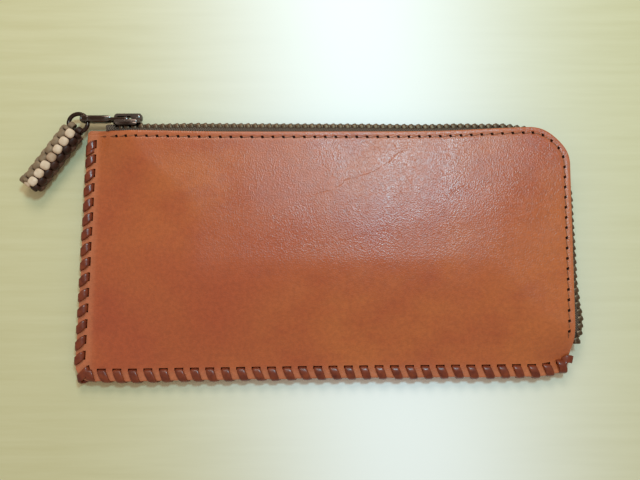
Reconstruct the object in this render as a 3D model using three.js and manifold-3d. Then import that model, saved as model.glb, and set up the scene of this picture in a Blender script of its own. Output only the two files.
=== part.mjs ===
// A slim long wallet with a zip along its top edge and down its right side. The left and bottom edges
// are whip-stitched with flat leather lace. It lies on its back: X runs along the zip, Y towards the
// zipped top edge and Z out of the front panel. The origin is the centre of the flat part of the back
// panel, on the surface that the wallet rests on. Millimetres.
import * as THREE from "three";
import { mergeVertices } from "three/addons/utils/BufferGeometryUtils.js";
import Module from "manifold-3d";

const wasm = await Module();
wasm.setup();

// Driving dimensions of the leather body.
const WIDTH = 186;
const HEIGHT = 96;
const LEATHER = 1.6;
const CORNER_ZIP = 13; // radius of the corner that the zip runs round
const CORNER_LACE = 5; // radius of the laced corner
const CORNER_DROP = 0.45; // how far the top edge falls away at the zip's closed end
const FRONT_TOP = 11.4; // height of the front panel's outer face in the middle
const FRONT_ZIP = 10.4; // and along the zip
const FRONT_LACE = 4.6; // and along the laced edges, where the two panels meet
const BACK_LACE = 1.2; // height of the back panel's outer face along the laced edges
const LACED_MARGIN = 5.5; // flat strip along the laced edges
const ZIP_MARGIN = 6; // flat strip along the zipped edges
const RISE = 18; // width over which a panel rises from a laced edge
const RISE_AT_ZIP = 6;

// Lace: a flat strap that winds round the edge through one slot per stitch.
const LACE_WIDTH = 3.2;
const LACE_THICK = 0.8;
const LACE_GAP = 0.25; // clearance between the strap and the leather
const LACE_INSET = 3.0; // from the left edge to its row of slots
const LACE_INSET_BOTTOM = 4.2;
const LACE_INSET_CORNER = 4.0;
const LACE_PITCH = 5.76; // along the bottom edge
const LACE_PITCH_LEFT = 5.85;
const LACE_DRIFT = 3.1; // how far the hand-spaced stitches half way up the left edge are off an even pitch
const LACE_LEAN = 2.2; // how far a stitch leans forward between its slot and the edge
const LEFT_STITCHES = 15;
const BOTTOM_STITCHES = 31;

// Zip.
const TOOTH_PITCH = 2.75;
const TOOTH_LENGTH = 1.15; // along the chain
const TOOTH_REACH = 0.7; // how far a tooth reaches past the chain's middle
const CORD_LEVEL = 0.9; // inner side of the cord that joins the teeth, from the chain's middle
const CHAIN_IN = 0.5; // the chain's inner and outer faces, measured outwards from the leather's edge
const CHAIN_OUT = 3.1;
const CHAIN_HALF = 1.5; // half of the chain's width
const CHAIN_LEVEL = FRONT_ZIP / 2;
const TAPE_THICK = 0.45;
const ZIP_START = 15; // distance of the first tooth from the left edge
const TAPE_START = 12.6;
const TAPE_INSIDE = 7; // how far the tape reaches in behind the leather
const TAPE_RISE = 3.6; // height of the tape's fold round the leather's edge, from the chain's middle
const ZIP_END = 14; // distance of the last tooth from the bottom edge
const STITCH_INSET = 2.3; // the sewn line that holds the tape

// Slider, pull and charm, placed from the left edge and outwards from the top edge.
const SLIDER_X = 15.9;
const SLIDER_LENGTH = 10.8;
const PLATE_OUT = 4.5;
const PIVOT_X = 15.5;
const PIVOT_OUT = 5.6;
const PULL_TIP_X = -4.1;
const PULL_THICK = 1.4;
const PIN_RADIUS = 0.55; // the pull's pin, in the bridge's window
const RING_X = -3.6;
const RING_OUT = 4.1;
const RING_RADIUS = 3.7;
const RING_WIRE = 0.7; // radius of the wire
const CHARM_ANGLE = (231 * Math.PI) / 180;
const CHARM_RADIUS = 5;
const CHARM_TIERS = 7;
const CHARM_NECK = 1.1; // from the ring's wire to the first tier
const CHARM_TIER = 3.85; // length of one tier of the braid

const LEFT = -WIDTH / 2;
const RIGHT = WIDTH / 2;
const BOTTOM = -HEIGHT / 2;
const TOP = HEIGHT / 2;

const group = new THREE.Group();

function material(color, roughness, metalness) {
  return new THREE.MeshStandardMaterial({ color, roughness, metalness });
}

const panelLeather = material(0xa9603f, 0.45, 0);
const laceLeather = material(0x6f2f1c, 0.35, 0);
const liningLeather = material(0xb98258, 0.6, 0);
const tapeCloth = material(0x4a3024, 0.9, 0);
const toothMetal = material(0x4b4034, 0.35, 0.9);
const pullMetal = material(0x3a3332, 0.25, 1);
const threadWax = material(0x5a2a16, 0.6, 0);
const charmLeather = material(0xcdb091, 0.6, 0);

function addPiece(name, geometry, look) {
  const mesh = new THREE.Mesh(geometry, look);
  mesh.name = name;
  group.add(mesh);
}

// A closed geometry as a solid, and back.
function solidOf(geometry) {
  const bare = new THREE.BufferGeometry().setAttribute("position", geometry.getAttribute("position"));
  if (geometry.index) bare.setIndex(geometry.index);
  const merged = mergeVertices(bare, 1e-4);
  return new wasm.Manifold(
    new wasm.Mesh({
      numProp: 3,
      vertProperties: new Float32Array(merged.attributes.position.array),
      triVerts: new Uint32Array(merged.index.array),
    }),
  );
}

function geometryOf(solid) {
  const made = solid.getMesh();
  return new THREE.BufferGeometry()
    .setAttribute("position", new THREE.BufferAttribute(new Float32Array(made.vertProperties), 3))
    .setIndex(new THREE.BufferAttribute(new Uint32Array(made.triVerts), 1));
}

function boxBetween(low, high) {
  const size = high.map((v, i) => v - low[i]);
  const middle = high.map((v, i) => (v + low[i]) / 2);
  return new THREE.BoxGeometry(...size).translate(...middle);
}

function union(...geometries) {
  return geometryOf(geometries.map(solidOf).reduce((a, b) => a.add(b)));
}

// The triangles of a flat end that may be hollowed: points are [x, y, z], along one ring.
function capTriangles(ring) {
  const points = ring.map((p) => new THREE.Vector3(...p));
  const centre = points.reduce((sum, p) => sum.add(p), new THREE.Vector3()).divideScalar(points.length);
  const normal = new THREE.Vector3();
  points.forEach((p, i) => {
    const next = points[(i + 1) % points.length].clone().sub(centre);
    normal.add(p.clone().sub(centre).cross(next));
  });
  const across = points[1].clone().sub(points[0]).normalize();
  const up = normal.normalize().cross(across);
  const flat = points.map((p) => new THREE.Vector2(p.dot(across), p.dot(up)));
  return THREE.ShapeUtils.triangulateShape(flat, []);
}

// A closed surface through rings of points: each ring has the same number of points.
function loft(rings) {
  const size = rings[0].length;
  const positions = rings.flat(2);
  const index = [];
  for (let i = 0; i < rings.length - 1; i++)
    for (let j = 0; j < size; j++) {
      const a = i * size + j;
      const b = i * size + ((j + 1) % size);
      index.push(a, b, b + size, a, b + size, a + size);
    }
  const last = (rings.length - 1) * size;
  capTriangles(rings[0]).forEach(([a, b, c]) => index.push(a, c, b));
  capTriangles(rings[rings.length - 1]).forEach(([a, b, c]) => index.push(last + a, last + b, last + c));
  const geometry = new THREE.BufferGeometry()
    .setAttribute("position", new THREE.Float32BufferAttribute(positions, 3))
    .setIndex(index);
  return facingOut(geometry);
}

function facingOut(geometry) {
  const p = geometry.attributes.position;
  const index = geometry.index.array;
  const [a, b, c] = [new THREE.Vector3(), new THREE.Vector3(), new THREE.Vector3()];
  let volume = 0;
  for (let i = 0; i < index.length; i += 3) {
    a.fromBufferAttribute(p, index[i]);
    b.fromBufferAttribute(p, index[i + 1]);
    c.fromBufferAttribute(p, index[i + 2]);
    volume += a.dot(b.cross(c));
  }
  if (volume < 0)
    for (let i = 0; i < index.length; i += 3) [index[i + 1], index[i + 2]] = [index[i + 2], index[i + 1]];
  return geometry;
}

// ---- The leather panels ----

const smooth = (t) => THREE.MathUtils.smoothstep(t, 0, 1);

// Distance from a point to the zipped edges, measured inwards.
function fromZip(x, y) {
  const dx = x - (RIGHT - CORNER_ZIP);
  const dy = y - (TOP - CORNER_ZIP);
  if (dx > 0 && dy > 0) return CORNER_ZIP - Math.hypot(dx, dy);
  return Math.min(RIGHT - x, TOP - y);
}

// 0 along the laced edges and 1 where the wallet is at its full thickness.
function fullness(x, y) {
  const width = THREE.MathUtils.lerp(RISE_AT_ZIP, RISE, smooth(fromZip(x, y) / 20));
  const left = smooth((x - LEFT - LACED_MARGIN) / width);
  const bottom = smooth((y - BOTTOM - LACED_MARGIN) / width);
  return left * bottom;
}

const zipShare = (x, y) => 1 - smooth((fromZip(x, y) - ZIP_MARGIN) / 12);

function frontFace(x, y) {
  const full = FRONT_TOP - (FRONT_TOP - FRONT_ZIP) * zipShare(x, y);
  return THREE.MathUtils.lerp(FRONT_LACE, full, fullness(x, y));
}

const backFace = (x, y) => BACK_LACE * (1 - fullness(x, y));

function topEdge(x) {
  const past = x - (RIGHT - CORNER_ZIP);
  if (past > 0) return TOP - CORNER_ZIP + Math.sqrt(Math.max(0, CORNER_ZIP ** 2 - past ** 2));
  return TOP - CORNER_DROP * (1 - smooth((x - LEFT) / 14));
}

function bottomEdge(x) {
  const before = LEFT + CORNER_LACE - x;
  if (before > 0) return BOTTOM + CORNER_LACE - Math.sqrt(Math.max(0, CORNER_LACE ** 2 - before ** 2));
  const past = x - (RIGHT - 3);
  if (past > 0) return BOTTOM + 3 - Math.sqrt(Math.max(0, 9 - past ** 2));
  return BOTTOM;
}

const COLUMNS = [0, 0.7, 2.4, 5.5, 8.5, 11.5, 15, 19, 24, 60, 100, 140, 158, 168, 173]
  .map((d) => LEFT + d)
  .concat([18, 36, 54, 72, 90].map((a) => RIGHT - CORNER_ZIP + CORNER_ZIP * Math.sin((a * Math.PI) / 180)));
const ROWS = [0, 0.03, 0.058, 0.09, 0.13, 0.18, 0.25, 0.5, 0.75, 0.81, 0.87, 0.937, 1];

// A panel between two height functions, on a grid that follows the outline.
function panel(upper, lower) {
  const layers = [upper, lower].map((height) =>
    COLUMNS.map((x) =>
      ROWS.map((share) => {
        const y = THREE.MathUtils.lerp(bottomEdge(x), topEdge(x), share);
        return [x, y, height(x, y)];
      }),
    ),
  );
  const [nx, ny] = [COLUMNS.length, ROWS.length];
  const at = (layer, i, j) => layer * nx * ny + i * ny + j;
  const index = [];
  const quad = (a, b, c, d) => index.push(a, b, c, a, c, d);
  for (let i = 0; i < nx - 1; i++)
    for (let j = 0; j < ny - 1; j++) {
      quad(at(0, i, j), at(0, i + 1, j), at(0, i + 1, j + 1), at(0, i, j + 1));
      quad(at(1, i, j), at(1, i, j + 1), at(1, i + 1, j + 1), at(1, i + 1, j));
    }
  for (let i = 0; i < nx - 1; i++) {
    quad(at(1, i, 0), at(1, i + 1, 0), at(0, i + 1, 0), at(0, i, 0));
    quad(at(0, i, ny - 1), at(0, i + 1, ny - 1), at(1, i + 1, ny - 1), at(1, i, ny - 1));
  }
  for (let j = 0; j < ny - 1; j++) {
    quad(at(0, 0, j), at(0, 0, j + 1), at(1, 0, j + 1), at(1, 0, j));
    quad(at(1, nx - 1, j), at(1, nx - 1, j + 1), at(0, nx - 1, j + 1), at(0, nx - 1, j));
  }
  return new THREE.BufferGeometry()
    .setAttribute("position", new THREE.Float32BufferAttribute(layers.flat(3), 3))
    .setIndex(index);
}

// ---- Whip stitching ----

// The slots in lacing order, down the left edge, round the corner and along the bottom edge.
function laceSlots() {
  const slots = [];
  const cornerX = LEFT + LACE_INSET_CORNER;
  const cornerY = BOTTOM + LACE_INSET_CORNER;
  for (let i = LEFT_STITCHES; i > 0; i--) {
    const drift = LACE_DRIFT * Math.sin((Math.PI * i) / (LEFT_STITCHES + 1)) ** 2;
    const y = cornerY + i * LACE_PITCH_LEFT + drift;
    slots.push({ x: LEFT + LACE_INSET, y, out: [-1, 0], reach: LACE_INSET });
  }
  const diagonal = Math.SQRT1_2;
  const cornerReach = CORNER_LACE - (CORNER_LACE - LACE_INSET_CORNER) * Math.SQRT2;
  slots.push({ x: cornerX, y: cornerY, out: [-diagonal, -diagonal], reach: cornerReach });
  const reach = LACE_INSET_BOTTOM;
  for (let i = 1; i <= BOTTOM_STITCHES; i++)
    slots.push({ x: cornerX + i * LACE_PITCH, y: BOTTOM + reach, out: [0, -1], reach });
  return slots;
}

const SLOTS = laceSlots();

// The slot is cut straight through both panels, a little wider than the strap.
function slotCutter({ x, y, out }) {
  const cutter = new THREE.BoxGeometry(LACE_THICK + 2 * LACE_GAP, LACE_WIDTH + 2 * LACE_GAP, 20);
  return cutter.rotateZ(Math.atan2(out[1], out[0])).translate(x, y, FRONT_LACE);
}

// The strap's rectangular section where it stands: a is the inner side and b the outer side.
function strapRing(centre, along, low, high) {
  const half = LACE_WIDTH / 2;
  const corner = (side, [out, z]) => [
    centre.x + along[0] * side * half + centre.out[0] * out,
    centre.y + along[1] * side * half + centre.out[1] * out,
    z,
  ];
  return [corner(-1, low), corner(1, low), corner(1, high), corner(-1, high)];
}

function laceGeometry() {
  const over = FRONT_LACE + LACE_GAP;
  const under = BACK_LACE - LACE_GAP;
  const rings = [];
  SLOTS.forEach((slot, i) => {
    const forward = [-slot.out[1], slot.out[0]];
    const next = SLOTS[i + 1];
    const shifted = (by) => ({ ...slot, x: slot.x + forward[0] * by, y: slot.y + forward[1] * by });
    const [near, far] = [-LACE_THICK / 2, LACE_THICK / 2];
    const edge = slot.reach + LACE_GAP;
    rings.push(strapRing(slot, forward, [far, over], [near, over + LACE_THICK]));
    rings.push(strapRing(shifted(LACE_LEAN), forward, [edge, over], [edge + LACE_THICK, over + LACE_THICK]));
    rings.push(strapRing(shifted(LACE_LEAN + 0.8), forward, [edge, under], [edge + LACE_THICK, under - LACE_THICK]));
    if (next) {
      const turn = [-next.out[1], next.out[0]];
      rings.push(strapRing(next, turn, [far, under], [near, under - LACE_THICK]));
    }
  });
  return loft(rings);
}

// ---- The fold that the front panel opens about ----

const FOLD_FROM = new THREE.Vector2(LEFT + 10, TOP);
const FOLD_TO = new THREE.Vector2(RIGHT, BOTTOM + 14);
const FOLD_GAP = 0.3;

// One side of the fold line as a block: side is 1 towards the zipped corner and -1 away from it.
function foldBlock(side) {
  const angle = Math.atan2(FOLD_TO.y - FOLD_FROM.y, FOLD_TO.x - FOLD_FROM.x);
  const depth = 200;
  const block = new THREE.BoxGeometry(400, depth, 60);
  block.translate(0, side * (depth / 2 + FOLD_GAP / 2), 0);
  return block.rotateZ(angle).translate((FOLD_FROM.x + FOLD_TO.x) / 2, (FOLD_FROM.y + FOLD_TO.y) / 2, 0);
}

function addPanels() {
  const inner = (height, by) => (x, y) => height(x, y) + by;
  const slots = SLOTS.map((slot) => solidOf(slotCutter(slot))).reduce((a, b) => a.add(b));
  const back = solidOf(panel(inner(backFace, LEATHER), backFace)).subtract(slots);
  const front = solidOf(panel(frontFace, inner(frontFace, -LEATHER))).subtract(slots);
  addPiece("back_panel", geometryOf(back), panelLeather);
  addPiece("front_panel", geometryOf(front.intersect(solidOf(foldBlock(-1)))), panelLeather);
  addPiece("front_panel_corner", geometryOf(front.intersect(solidOf(foldBlock(1)))), panelLeather);
  addPiece("edge_lace", laceGeometry(), laceLeather);
}

// ---- The zip ----

// The leather's zipped edge as a path: its place and outward direction at a distance along it.
const STRAIGHT = WIDTH - CORNER_ZIP;
const ARC = (Math.PI / 2) * CORNER_ZIP;
const PATH_END = STRAIGHT + ARC + HEIGHT - CORNER_ZIP - ZIP_END;

function zipEdge(s) {
  if (s <= STRAIGHT) return { x: LEFT + s, y: TOP, out: [0, 1] };
  if (s < STRAIGHT + ARC) {
    const angle = (s - STRAIGHT) / CORNER_ZIP;
    const out = [Math.sin(angle), Math.cos(angle)];
    return { x: RIGHT - CORNER_ZIP + CORNER_ZIP * out[0], y: TOP - CORNER_ZIP + CORNER_ZIP * out[1], out };
  }
  return { x: RIGHT, y: TOP - CORNER_ZIP - (s - STRAIGHT - ARC), out: [1, 0] };
}

const onEdge = (s, out, z) => {
  const edge = zipEdge(s);
  return [edge.x + edge.out[0] * out, edge.y + edge.out[1] * out, z];
};

// Stations along the zip: the ends of the straights, and steps round the corner.
function stations(from, to, more = []) {
  const corner = Array.from({ length: 9 }, (_, i) => STRAIGHT + (ARC * i) / 8);
  return [from, ...more, ...corner, to].filter((s) => s >= from && s <= to).sort((a, b) => a - b);
}

// side is 1 for the front half of the zip and -1 for the back half.
// A row of teeth on its cord: the teeth of the two rows stand in each other's gaps.
function teethGeometry(side) {
  const rings = [];
  const start = ZIP_START + (side < 0 ? TOOTH_PITCH / 2 : 0);
  const tip = CHAIN_LEVEL - side * TOOTH_REACH;
  const cord = CHAIN_LEVEL + side * CORD_LEVEL;
  const back = CHAIN_LEVEL + side * CHAIN_HALF;
  const ring = (s, z) => [
    onEdge(s, CHAIN_IN, z),
    onEdge(s, CHAIN_OUT, z),
    onEdge(s, CHAIN_OUT, back),
    onEdge(s, CHAIN_IN, back),
  ];
  const lean = 0.02; // the walls of a tooth lean by this much
  for (let s = start; s + TOOTH_PITCH < PATH_END; s += TOOTH_PITCH) {
    rings.push(ring(s, tip), ring(s + TOOTH_LENGTH, tip));
    rings.push(ring(s + TOOTH_LENGTH + lean, cord), ring(s + TOOTH_PITCH - lean, cord));
  }
  return loft(rings);
}

// One half of the woven tape: sewn inside the panel, round its edge and out to the teeth.
function tapeGeometry(side) {
  const level = (z) => CHAIN_LEVEL + side * z;
  const face = side > 0 ? frontFace : backFace;
  const middle = (CHAIN_IN + CHAIN_OUT) / 2;
  const [near, far] = [middle - TAPE_THICK / 2, middle + TAPE_THICK / 2];
  const foot = CHAIN_HALF + 0.15;
  const rings = stations(TAPE_START, PATH_END + 0.5, [14, 16, 19, 23, PATH_END - 6, PATH_END - 2]).map((s) => {
    const under = [0, -TAPE_INSIDE].map((out) => {
      const [x, y] = onEdge(s, out, 0);
      const gap = 0.3 - 0.1 * out;
      return Math.min(TAPE_RISE - 0.2, side * (face(x, y) - CHAIN_LEVEL) - LEATHER - gap);
    });
    return [
      onEdge(s, far, level(foot)),
      onEdge(s, far, level(TAPE_RISE)),
      onEdge(s, 0.35, level(TAPE_RISE)),
      onEdge(s, 0.1, level(under[0])),
      onEdge(s, -TAPE_INSIDE, level(under[1])),
      onEdge(s, -TAPE_INSIDE, level(under[1] - TAPE_THICK)),
      onEdge(s, 0.1, level(under[0] - TAPE_THICK)),
      onEdge(s, near, level(TAPE_RISE - 0.5)),
      onEdge(s, near, level(foot)),
    ];
  });
  return loft(rings);
}

// The sewn line that holds a tape to its panel, standing just proud of the leather.
function threadGeometry(side) {
  const face = side > 0 ? frontFace : backFace;
  const rings = stations(18, PATH_END - 6, [22, 26, PATH_END - 10]).map((s) => {
    const [x, y] = onEdge(s, -STITCH_INSET, 0);
    const [low, high] = [0.08, 0.43].map((gap) => face(x, y) + side * gap);
    return [
      onEdge(s, -STITCH_INSET - 0.3, low),
      onEdge(s, -STITCH_INSET + 0.3, low),
      onEdge(s, -STITCH_INSET + 0.3, high),
      onEdge(s, -STITCH_INSET - 0.3, high),
    ];
  });
  return loft(rings);
}

function addZip() {
  addPiece("front_teeth", teethGeometry(1), toothMetal);
  addPiece("back_teeth", teethGeometry(-1), toothMetal);
  addPiece("front_tape", tapeGeometry(1), tapeCloth);
  addPiece("back_tape", tapeGeometry(-1), tapeCloth);
  addPiece("front_stitching", threadGeometry(1), threadWax);
  const stop = (side) =>
    boxBetween(
      [LEFT + 12.9, TOP + CHAIN_IN, CHAIN_LEVEL + (side > 0 ? 0.95 : -1.5)],
      [LEFT + 14.7, TOP + CHAIN_OUT, CHAIN_LEVEL + (side > 0 ? 1.5 : -0.95)],
    );
  addPiece("top_stop_front", stop(1), toothMetal);
  addPiece("top_stop_back", stop(-1), toothMetal);
  const [x, y] = onEdge(PATH_END, 0, 0);
  const low = [x + CHAIN_IN, y - 1.2, CHAIN_LEVEL - CHAIN_HALF];
  addPiece("bottom_stop", boxBetween(low, [x + CHAIN_OUT, y + 0.2, CHAIN_LEVEL + CHAIN_HALF]), toothMetal);
}

// ---- Slider, pull, ring and charm ----

const outOf = (shape, depth) => new THREE.ExtrudeGeometry(shape, { depth, bevelEnabled: false, curveSegments: 3 });

function roundedRectangle(x0, y0, x1, y1, radius) {
  const shape = new THREE.Shape();
  shape.moveTo(x0 + radius, y0);
  shape.lineTo(x1 - radius, y0);
  shape.absarc(x1 - radius, y0 + radius, radius, -Math.PI / 2, 0);
  shape.lineTo(x1, y1 - radius);
  shape.absarc(x1 - radius, y1 - radius, radius, 0, Math.PI / 2);
  shape.lineTo(x0 + radius, y1);
  shape.absarc(x0 + radius, y1 - radius, radius, Math.PI / 2, Math.PI);
  shape.lineTo(x0, y0 + radius);
  shape.absarc(x0 + radius, y0 + radius, radius, Math.PI, 1.5 * Math.PI);
  return shape;
}

// Places a flat shape drawn in X and Z, standing from one distance above the top edge to another.
function standing(shape, from, to) {
  return outOf(shape, to - from).rotateX(-Math.PI / 2).scale(1, 1, -1).translate(LEFT, TOP + from, CHAIN_LEVEL);
}

function sliderGeometry() {
  const [x0, x1] = [SLIDER_X - SLIDER_LENGTH / 2, SLIDER_X + SLIDER_LENGTH / 2];
  const upright = (low, high) => boxBetween(low, high).translate(LEFT, TOP, CHAIN_LEVEL);
  const parts = [
    upright([x0, 3.35, -3.8], [x1, PLATE_OUT, 3.8]),
    upright([x0 + 1.2, 2.55, -3.8], [x1, 3.6, -3.15]),
    upright([x0 + 1.2, 2.55, 3.15], [x1, 3.6, 3.8]),
    upright([x0 + 0.4, -0.9, -2.5], [x1 - 0.4, 0.25, 2.5]),
    upright([x0 + 0.3, 0, -0.55], [x0 + 2.2, 3.6, 0.55]),
  ];
  return union(...parts);
}

// The bridge over the slider: a solid rear post and an arch that leaves a window for the pull.
function bridgeGeometry() {
  const shape = roundedRectangle(10.5, PLATE_OUT + 0.02, 21.3, 7.7, 1);
  const half = 1;
  const block = outOf(shape, 2 * half).translate(LEFT, TOP, CHAIN_LEVEL - half);
  const window = outOf(roundedRectangle(11.7, 4.85, 17.4, 6.55, 0.6), 4).translate(LEFT, TOP, CHAIN_LEVEL - 2);
  return geometryOf(solidOf(block).subtract(solidOf(window)));
}

function pullGeometry() {
  const y = TOP + PIVOT_OUT;
  const [low, high] = [y - PULL_THICK / 2, y + PULL_THICK / 2];
  const bar = (x0, x1, z0, z1) =>
    boxBetween([LEFT + x0, low, CHAIN_LEVEL + z0], [LEFT + x1, high, CHAIN_LEVEL + z1]);
  const pin = new THREE.CylinderGeometry(PIN_RADIUS, PIN_RADIUS, 4.6, 10).rotateX(Math.PI / 2);
  pin.translate(LEFT + PIVOT_X, y, CHAIN_LEVEL);
  const parts = [
    bar(PULL_TIP_X + 4.9, 9, -2.1, 2.1),
    bar(8.4, PIVOT_X + 0.6, 1.35, 2.5),
    bar(8.4, PIVOT_X + 0.6, -2.5, -1.35),
    bar(PULL_TIP_X, PULL_TIP_X + 5.3, 1.2, 2.1),
    bar(PULL_TIP_X, PULL_TIP_X + 5.3, -2.1, -1.2),
    bar(PULL_TIP_X, PULL_TIP_X + 1.3, -2, 2),
    pin,
  ];
  return union(...parts);
}

const RING_CENTRE = new THREE.Vector3(LEFT + RING_X, TOP + RING_OUT, CHAIN_LEVEL);

// The braid hangs from the ring by a loop of lace: both are drawn along +X and turned into place.
function charmGeometry() {
  const loopOuter = new THREE.Shape().absarc(0.7, 0, 2.3, 0, 2 * Math.PI);
  loopOuter.holes.push(new THREE.Path().absarc(0, 0, 1.1, 0, 2 * Math.PI, true));
  const loop = new THREE.ExtrudeGeometry(loopOuter, { depth: 2.6, bevelEnabled: false, curveSegments: 6 });
  loop.rotateX(Math.PI / 2).translate(0, 1.3, 0);
  const profile = [new THREE.Vector2(0, CHARM_NECK)];
  for (let i = 0; i <= CHARM_TIERS; i++) {
    const at = CHARM_NECK + i * CHARM_TIER;
    profile.push(new THREE.Vector2(CHARM_RADIUS - 0.5, at));
    if (i < CHARM_TIERS) profile.push(new THREE.Vector2(CHARM_RADIUS, at + CHARM_TIER / 2));
  }
  profile.push(new THREE.Vector2(0, CHARM_NECK + CHARM_TIERS * CHARM_TIER));
  const braid = new THREE.LatheGeometry(profile, 12).rotateZ(-Math.PI / 2);
  const [dx, dy] = [RING_RADIUS * Math.cos(CHARM_ANGLE), RING_RADIUS * Math.sin(CHARM_ANGLE)];
  return union(loop, braid)
    .rotateZ(CHARM_ANGLE)
    .translate(RING_CENTRE.x + dx, RING_CENTRE.y + dy, RING_CENTRE.z);
}

function addPull() {
  addPiece("slider_body", sliderGeometry(), pullMetal);
  addPiece("slider_bridge", bridgeGeometry(), pullMetal);
  addPiece("pull_tab", pullGeometry(), pullMetal);
  const ring = new THREE.TorusGeometry(RING_RADIUS, RING_WIRE, 8, 24).translate(...RING_CENTRE.toArray());
  addPiece("jump_ring", ring, pullMetal);
  addPiece("braided_charm", charmGeometry(), charmLeather);
}

// ---- Inside: card pockets on the right and a coin pocket on the left, on the back panel ----

const LINING = 0.5;
const LAYER = 0.7;
const POCKET_FLOOR = LEATHER + 0.15;

function sheet(x0, x1, y0, y1, layer) {
  const z = POCKET_FLOOR + layer * LAYER;
  return outOf(roundedRectangle(x0, y0, x1, y1, 2), LINING).translate(0, 0, z);
}

function addPockets() {
  const [low, cardLeft, cardRight] = [-24, -14, 78];
  addPiece("pocket_backing", sheet(-68, cardRight, low, 32, 0), liningLeather);
  [28, 16, 4].forEach((top, i) =>
    addPiece(`card_pocket_${i + 1}`, sheet(cardLeft, cardRight, low, top, i + 1), liningLeather),
  );
  const outline = roundedRectangle(-68, low, -18, 26, 2);
  outline.holes.push(roundedRectangle(-64, low + 4, -22, 25, 1));
  const gusset = solidOf(outOf(outline, 1.2).translate(0, 0, POCKET_FLOOR + LAYER));
  const mouth = solidOf(boxBetween([-64, 20, 0], [-22, 30, 6]));
  addPiece("coin_gusset", geometryOf(gusset.subtract(mouth)), liningLeather);
  const face = roundedRectangle(-68, low, -18, 22, 2);
  addPiece("coin_pocket", outOf(face, LINING).translate(0, 0, POCKET_FLOOR + LAYER + 1.4), liningLeather);
}

addPanels();
addZip();
addPull();
addPockets();

export default group;
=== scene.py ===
"""The looks of a hand-laced long wallet: leather, lacing, stitches, zip, pull and braided charm.

Lengths are in millimetres in the frame's own directions. Each mesh is scaled to metres as it is made.
X runs along the zipped top edge, Y towards that edge and Z out of the front panel.
"""

import math
import random

import bpy
import numpy as np
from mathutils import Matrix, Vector, noise


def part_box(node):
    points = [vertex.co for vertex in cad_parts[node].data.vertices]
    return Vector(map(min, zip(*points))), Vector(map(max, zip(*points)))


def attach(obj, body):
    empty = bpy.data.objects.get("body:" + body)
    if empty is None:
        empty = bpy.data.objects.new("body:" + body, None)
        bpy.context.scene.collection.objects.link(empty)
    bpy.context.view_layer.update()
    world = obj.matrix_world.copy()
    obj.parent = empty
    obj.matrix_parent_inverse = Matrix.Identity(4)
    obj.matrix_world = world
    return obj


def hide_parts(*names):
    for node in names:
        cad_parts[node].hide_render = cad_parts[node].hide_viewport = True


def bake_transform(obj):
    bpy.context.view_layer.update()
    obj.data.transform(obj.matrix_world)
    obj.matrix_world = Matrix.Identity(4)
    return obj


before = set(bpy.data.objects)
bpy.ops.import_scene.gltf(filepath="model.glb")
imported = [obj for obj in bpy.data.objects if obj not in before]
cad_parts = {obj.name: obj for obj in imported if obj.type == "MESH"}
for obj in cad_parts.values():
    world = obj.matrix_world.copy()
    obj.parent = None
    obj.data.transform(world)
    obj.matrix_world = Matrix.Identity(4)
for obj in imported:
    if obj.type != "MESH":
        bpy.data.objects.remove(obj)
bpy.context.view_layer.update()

MM = 0.001
SEED = 7

# The leather body, from the frame.
back_low, back_high = (Vector(p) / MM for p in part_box("back_panel"))
LEFT, BOTTOM = back_low.x, back_low.y
RIGHT, TOP = back_high.x, back_high.y
FRONT_TOP = (Vector(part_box("front_panel")[1]) / MM).z
LEATHER = 1.6
CORNER_ZIP = 15.5  # radius of the corner that the zip runs round
CORNER_LACE = 6.5
CORNER_START = 1.5  # and of the small corners where the zip starts and ends
CORNER_END = 5
CORNER_LIFT = 1.3  # how far the top edge rises where the zip starts
GROOVE = 0.14  # depth of the furrow that the saddle stitches lie in
FRONT_ZIP = FRONT_TOP - 1
FRONT_LACE = 4.6  # height of the front's outer face along the laced edges
BACK_LACE = 1.2  # and of the back's
LACED_MARGIN = 4.4  # flat strip along the laced edges
RISE = 42  # width over which a panel rises from a laced edge
RISE_AT_ZIP = 14
ZIP_SLOPE = 0.7  # how far the front falls away towards the zip, and over what width
ZIP_SLOPE_WIDTH = 36
EDGE_ROUND = 0.55  # rounding of the leather's cut edge

# Lacing.
LACE_WIDTH = 3.0
LACE_THICK = 0.8
LACE_INSET = 3.0  # from the left edge to its row of slots
LACE_INSET_BOTTOM = 4.1
LACE_INSET_CORNER = 4.0
LACE_PITCH = 5.76
LACE_PITCH_LEFT = 5.85
LACE_DRIFT = 0.6  # how far the stitches half way up the left edge are off an even pitch
LACE_LEAN = 1.7  # how far a stitch leans forward between its slot and the edge
LACE_LEAN_LEFT = 2.6
LEFT_STITCHES = 15
BOTTOM_STITCHES = 31
STITCH_JITTER = 0.35
LACE_OVER = FRONT_LACE + LACE_THICK / 2  # middle of the strap where it lies on the front
LACE_TURN = 2.9  # height at which it goes round the edge

# Zip.
CHAIN_LEVEL = FRONT_ZIP / 2
TOOTH_PITCH = 2.75
ZIP_START = 15  # distance of the first tooth from the left edge
ZIP_END = 14  # distance of the last tooth from the bottom edge
TAPE_START = 7.5
TAPE_HALF = 0.22  # half of the tape's thickness
STITCH_PITCH = 4.0
STITCH_INSET = 2.3
THREAD_RADIUS = 0.16
STRAIGHT = RIGHT - LEFT - CORNER_ZIP
ARC = math.pi / 2 * CORNER_ZIP
PATH_END = STRAIGHT + ARC + TOP - BOTTOM - CORNER_ZIP - ZIP_END

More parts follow.
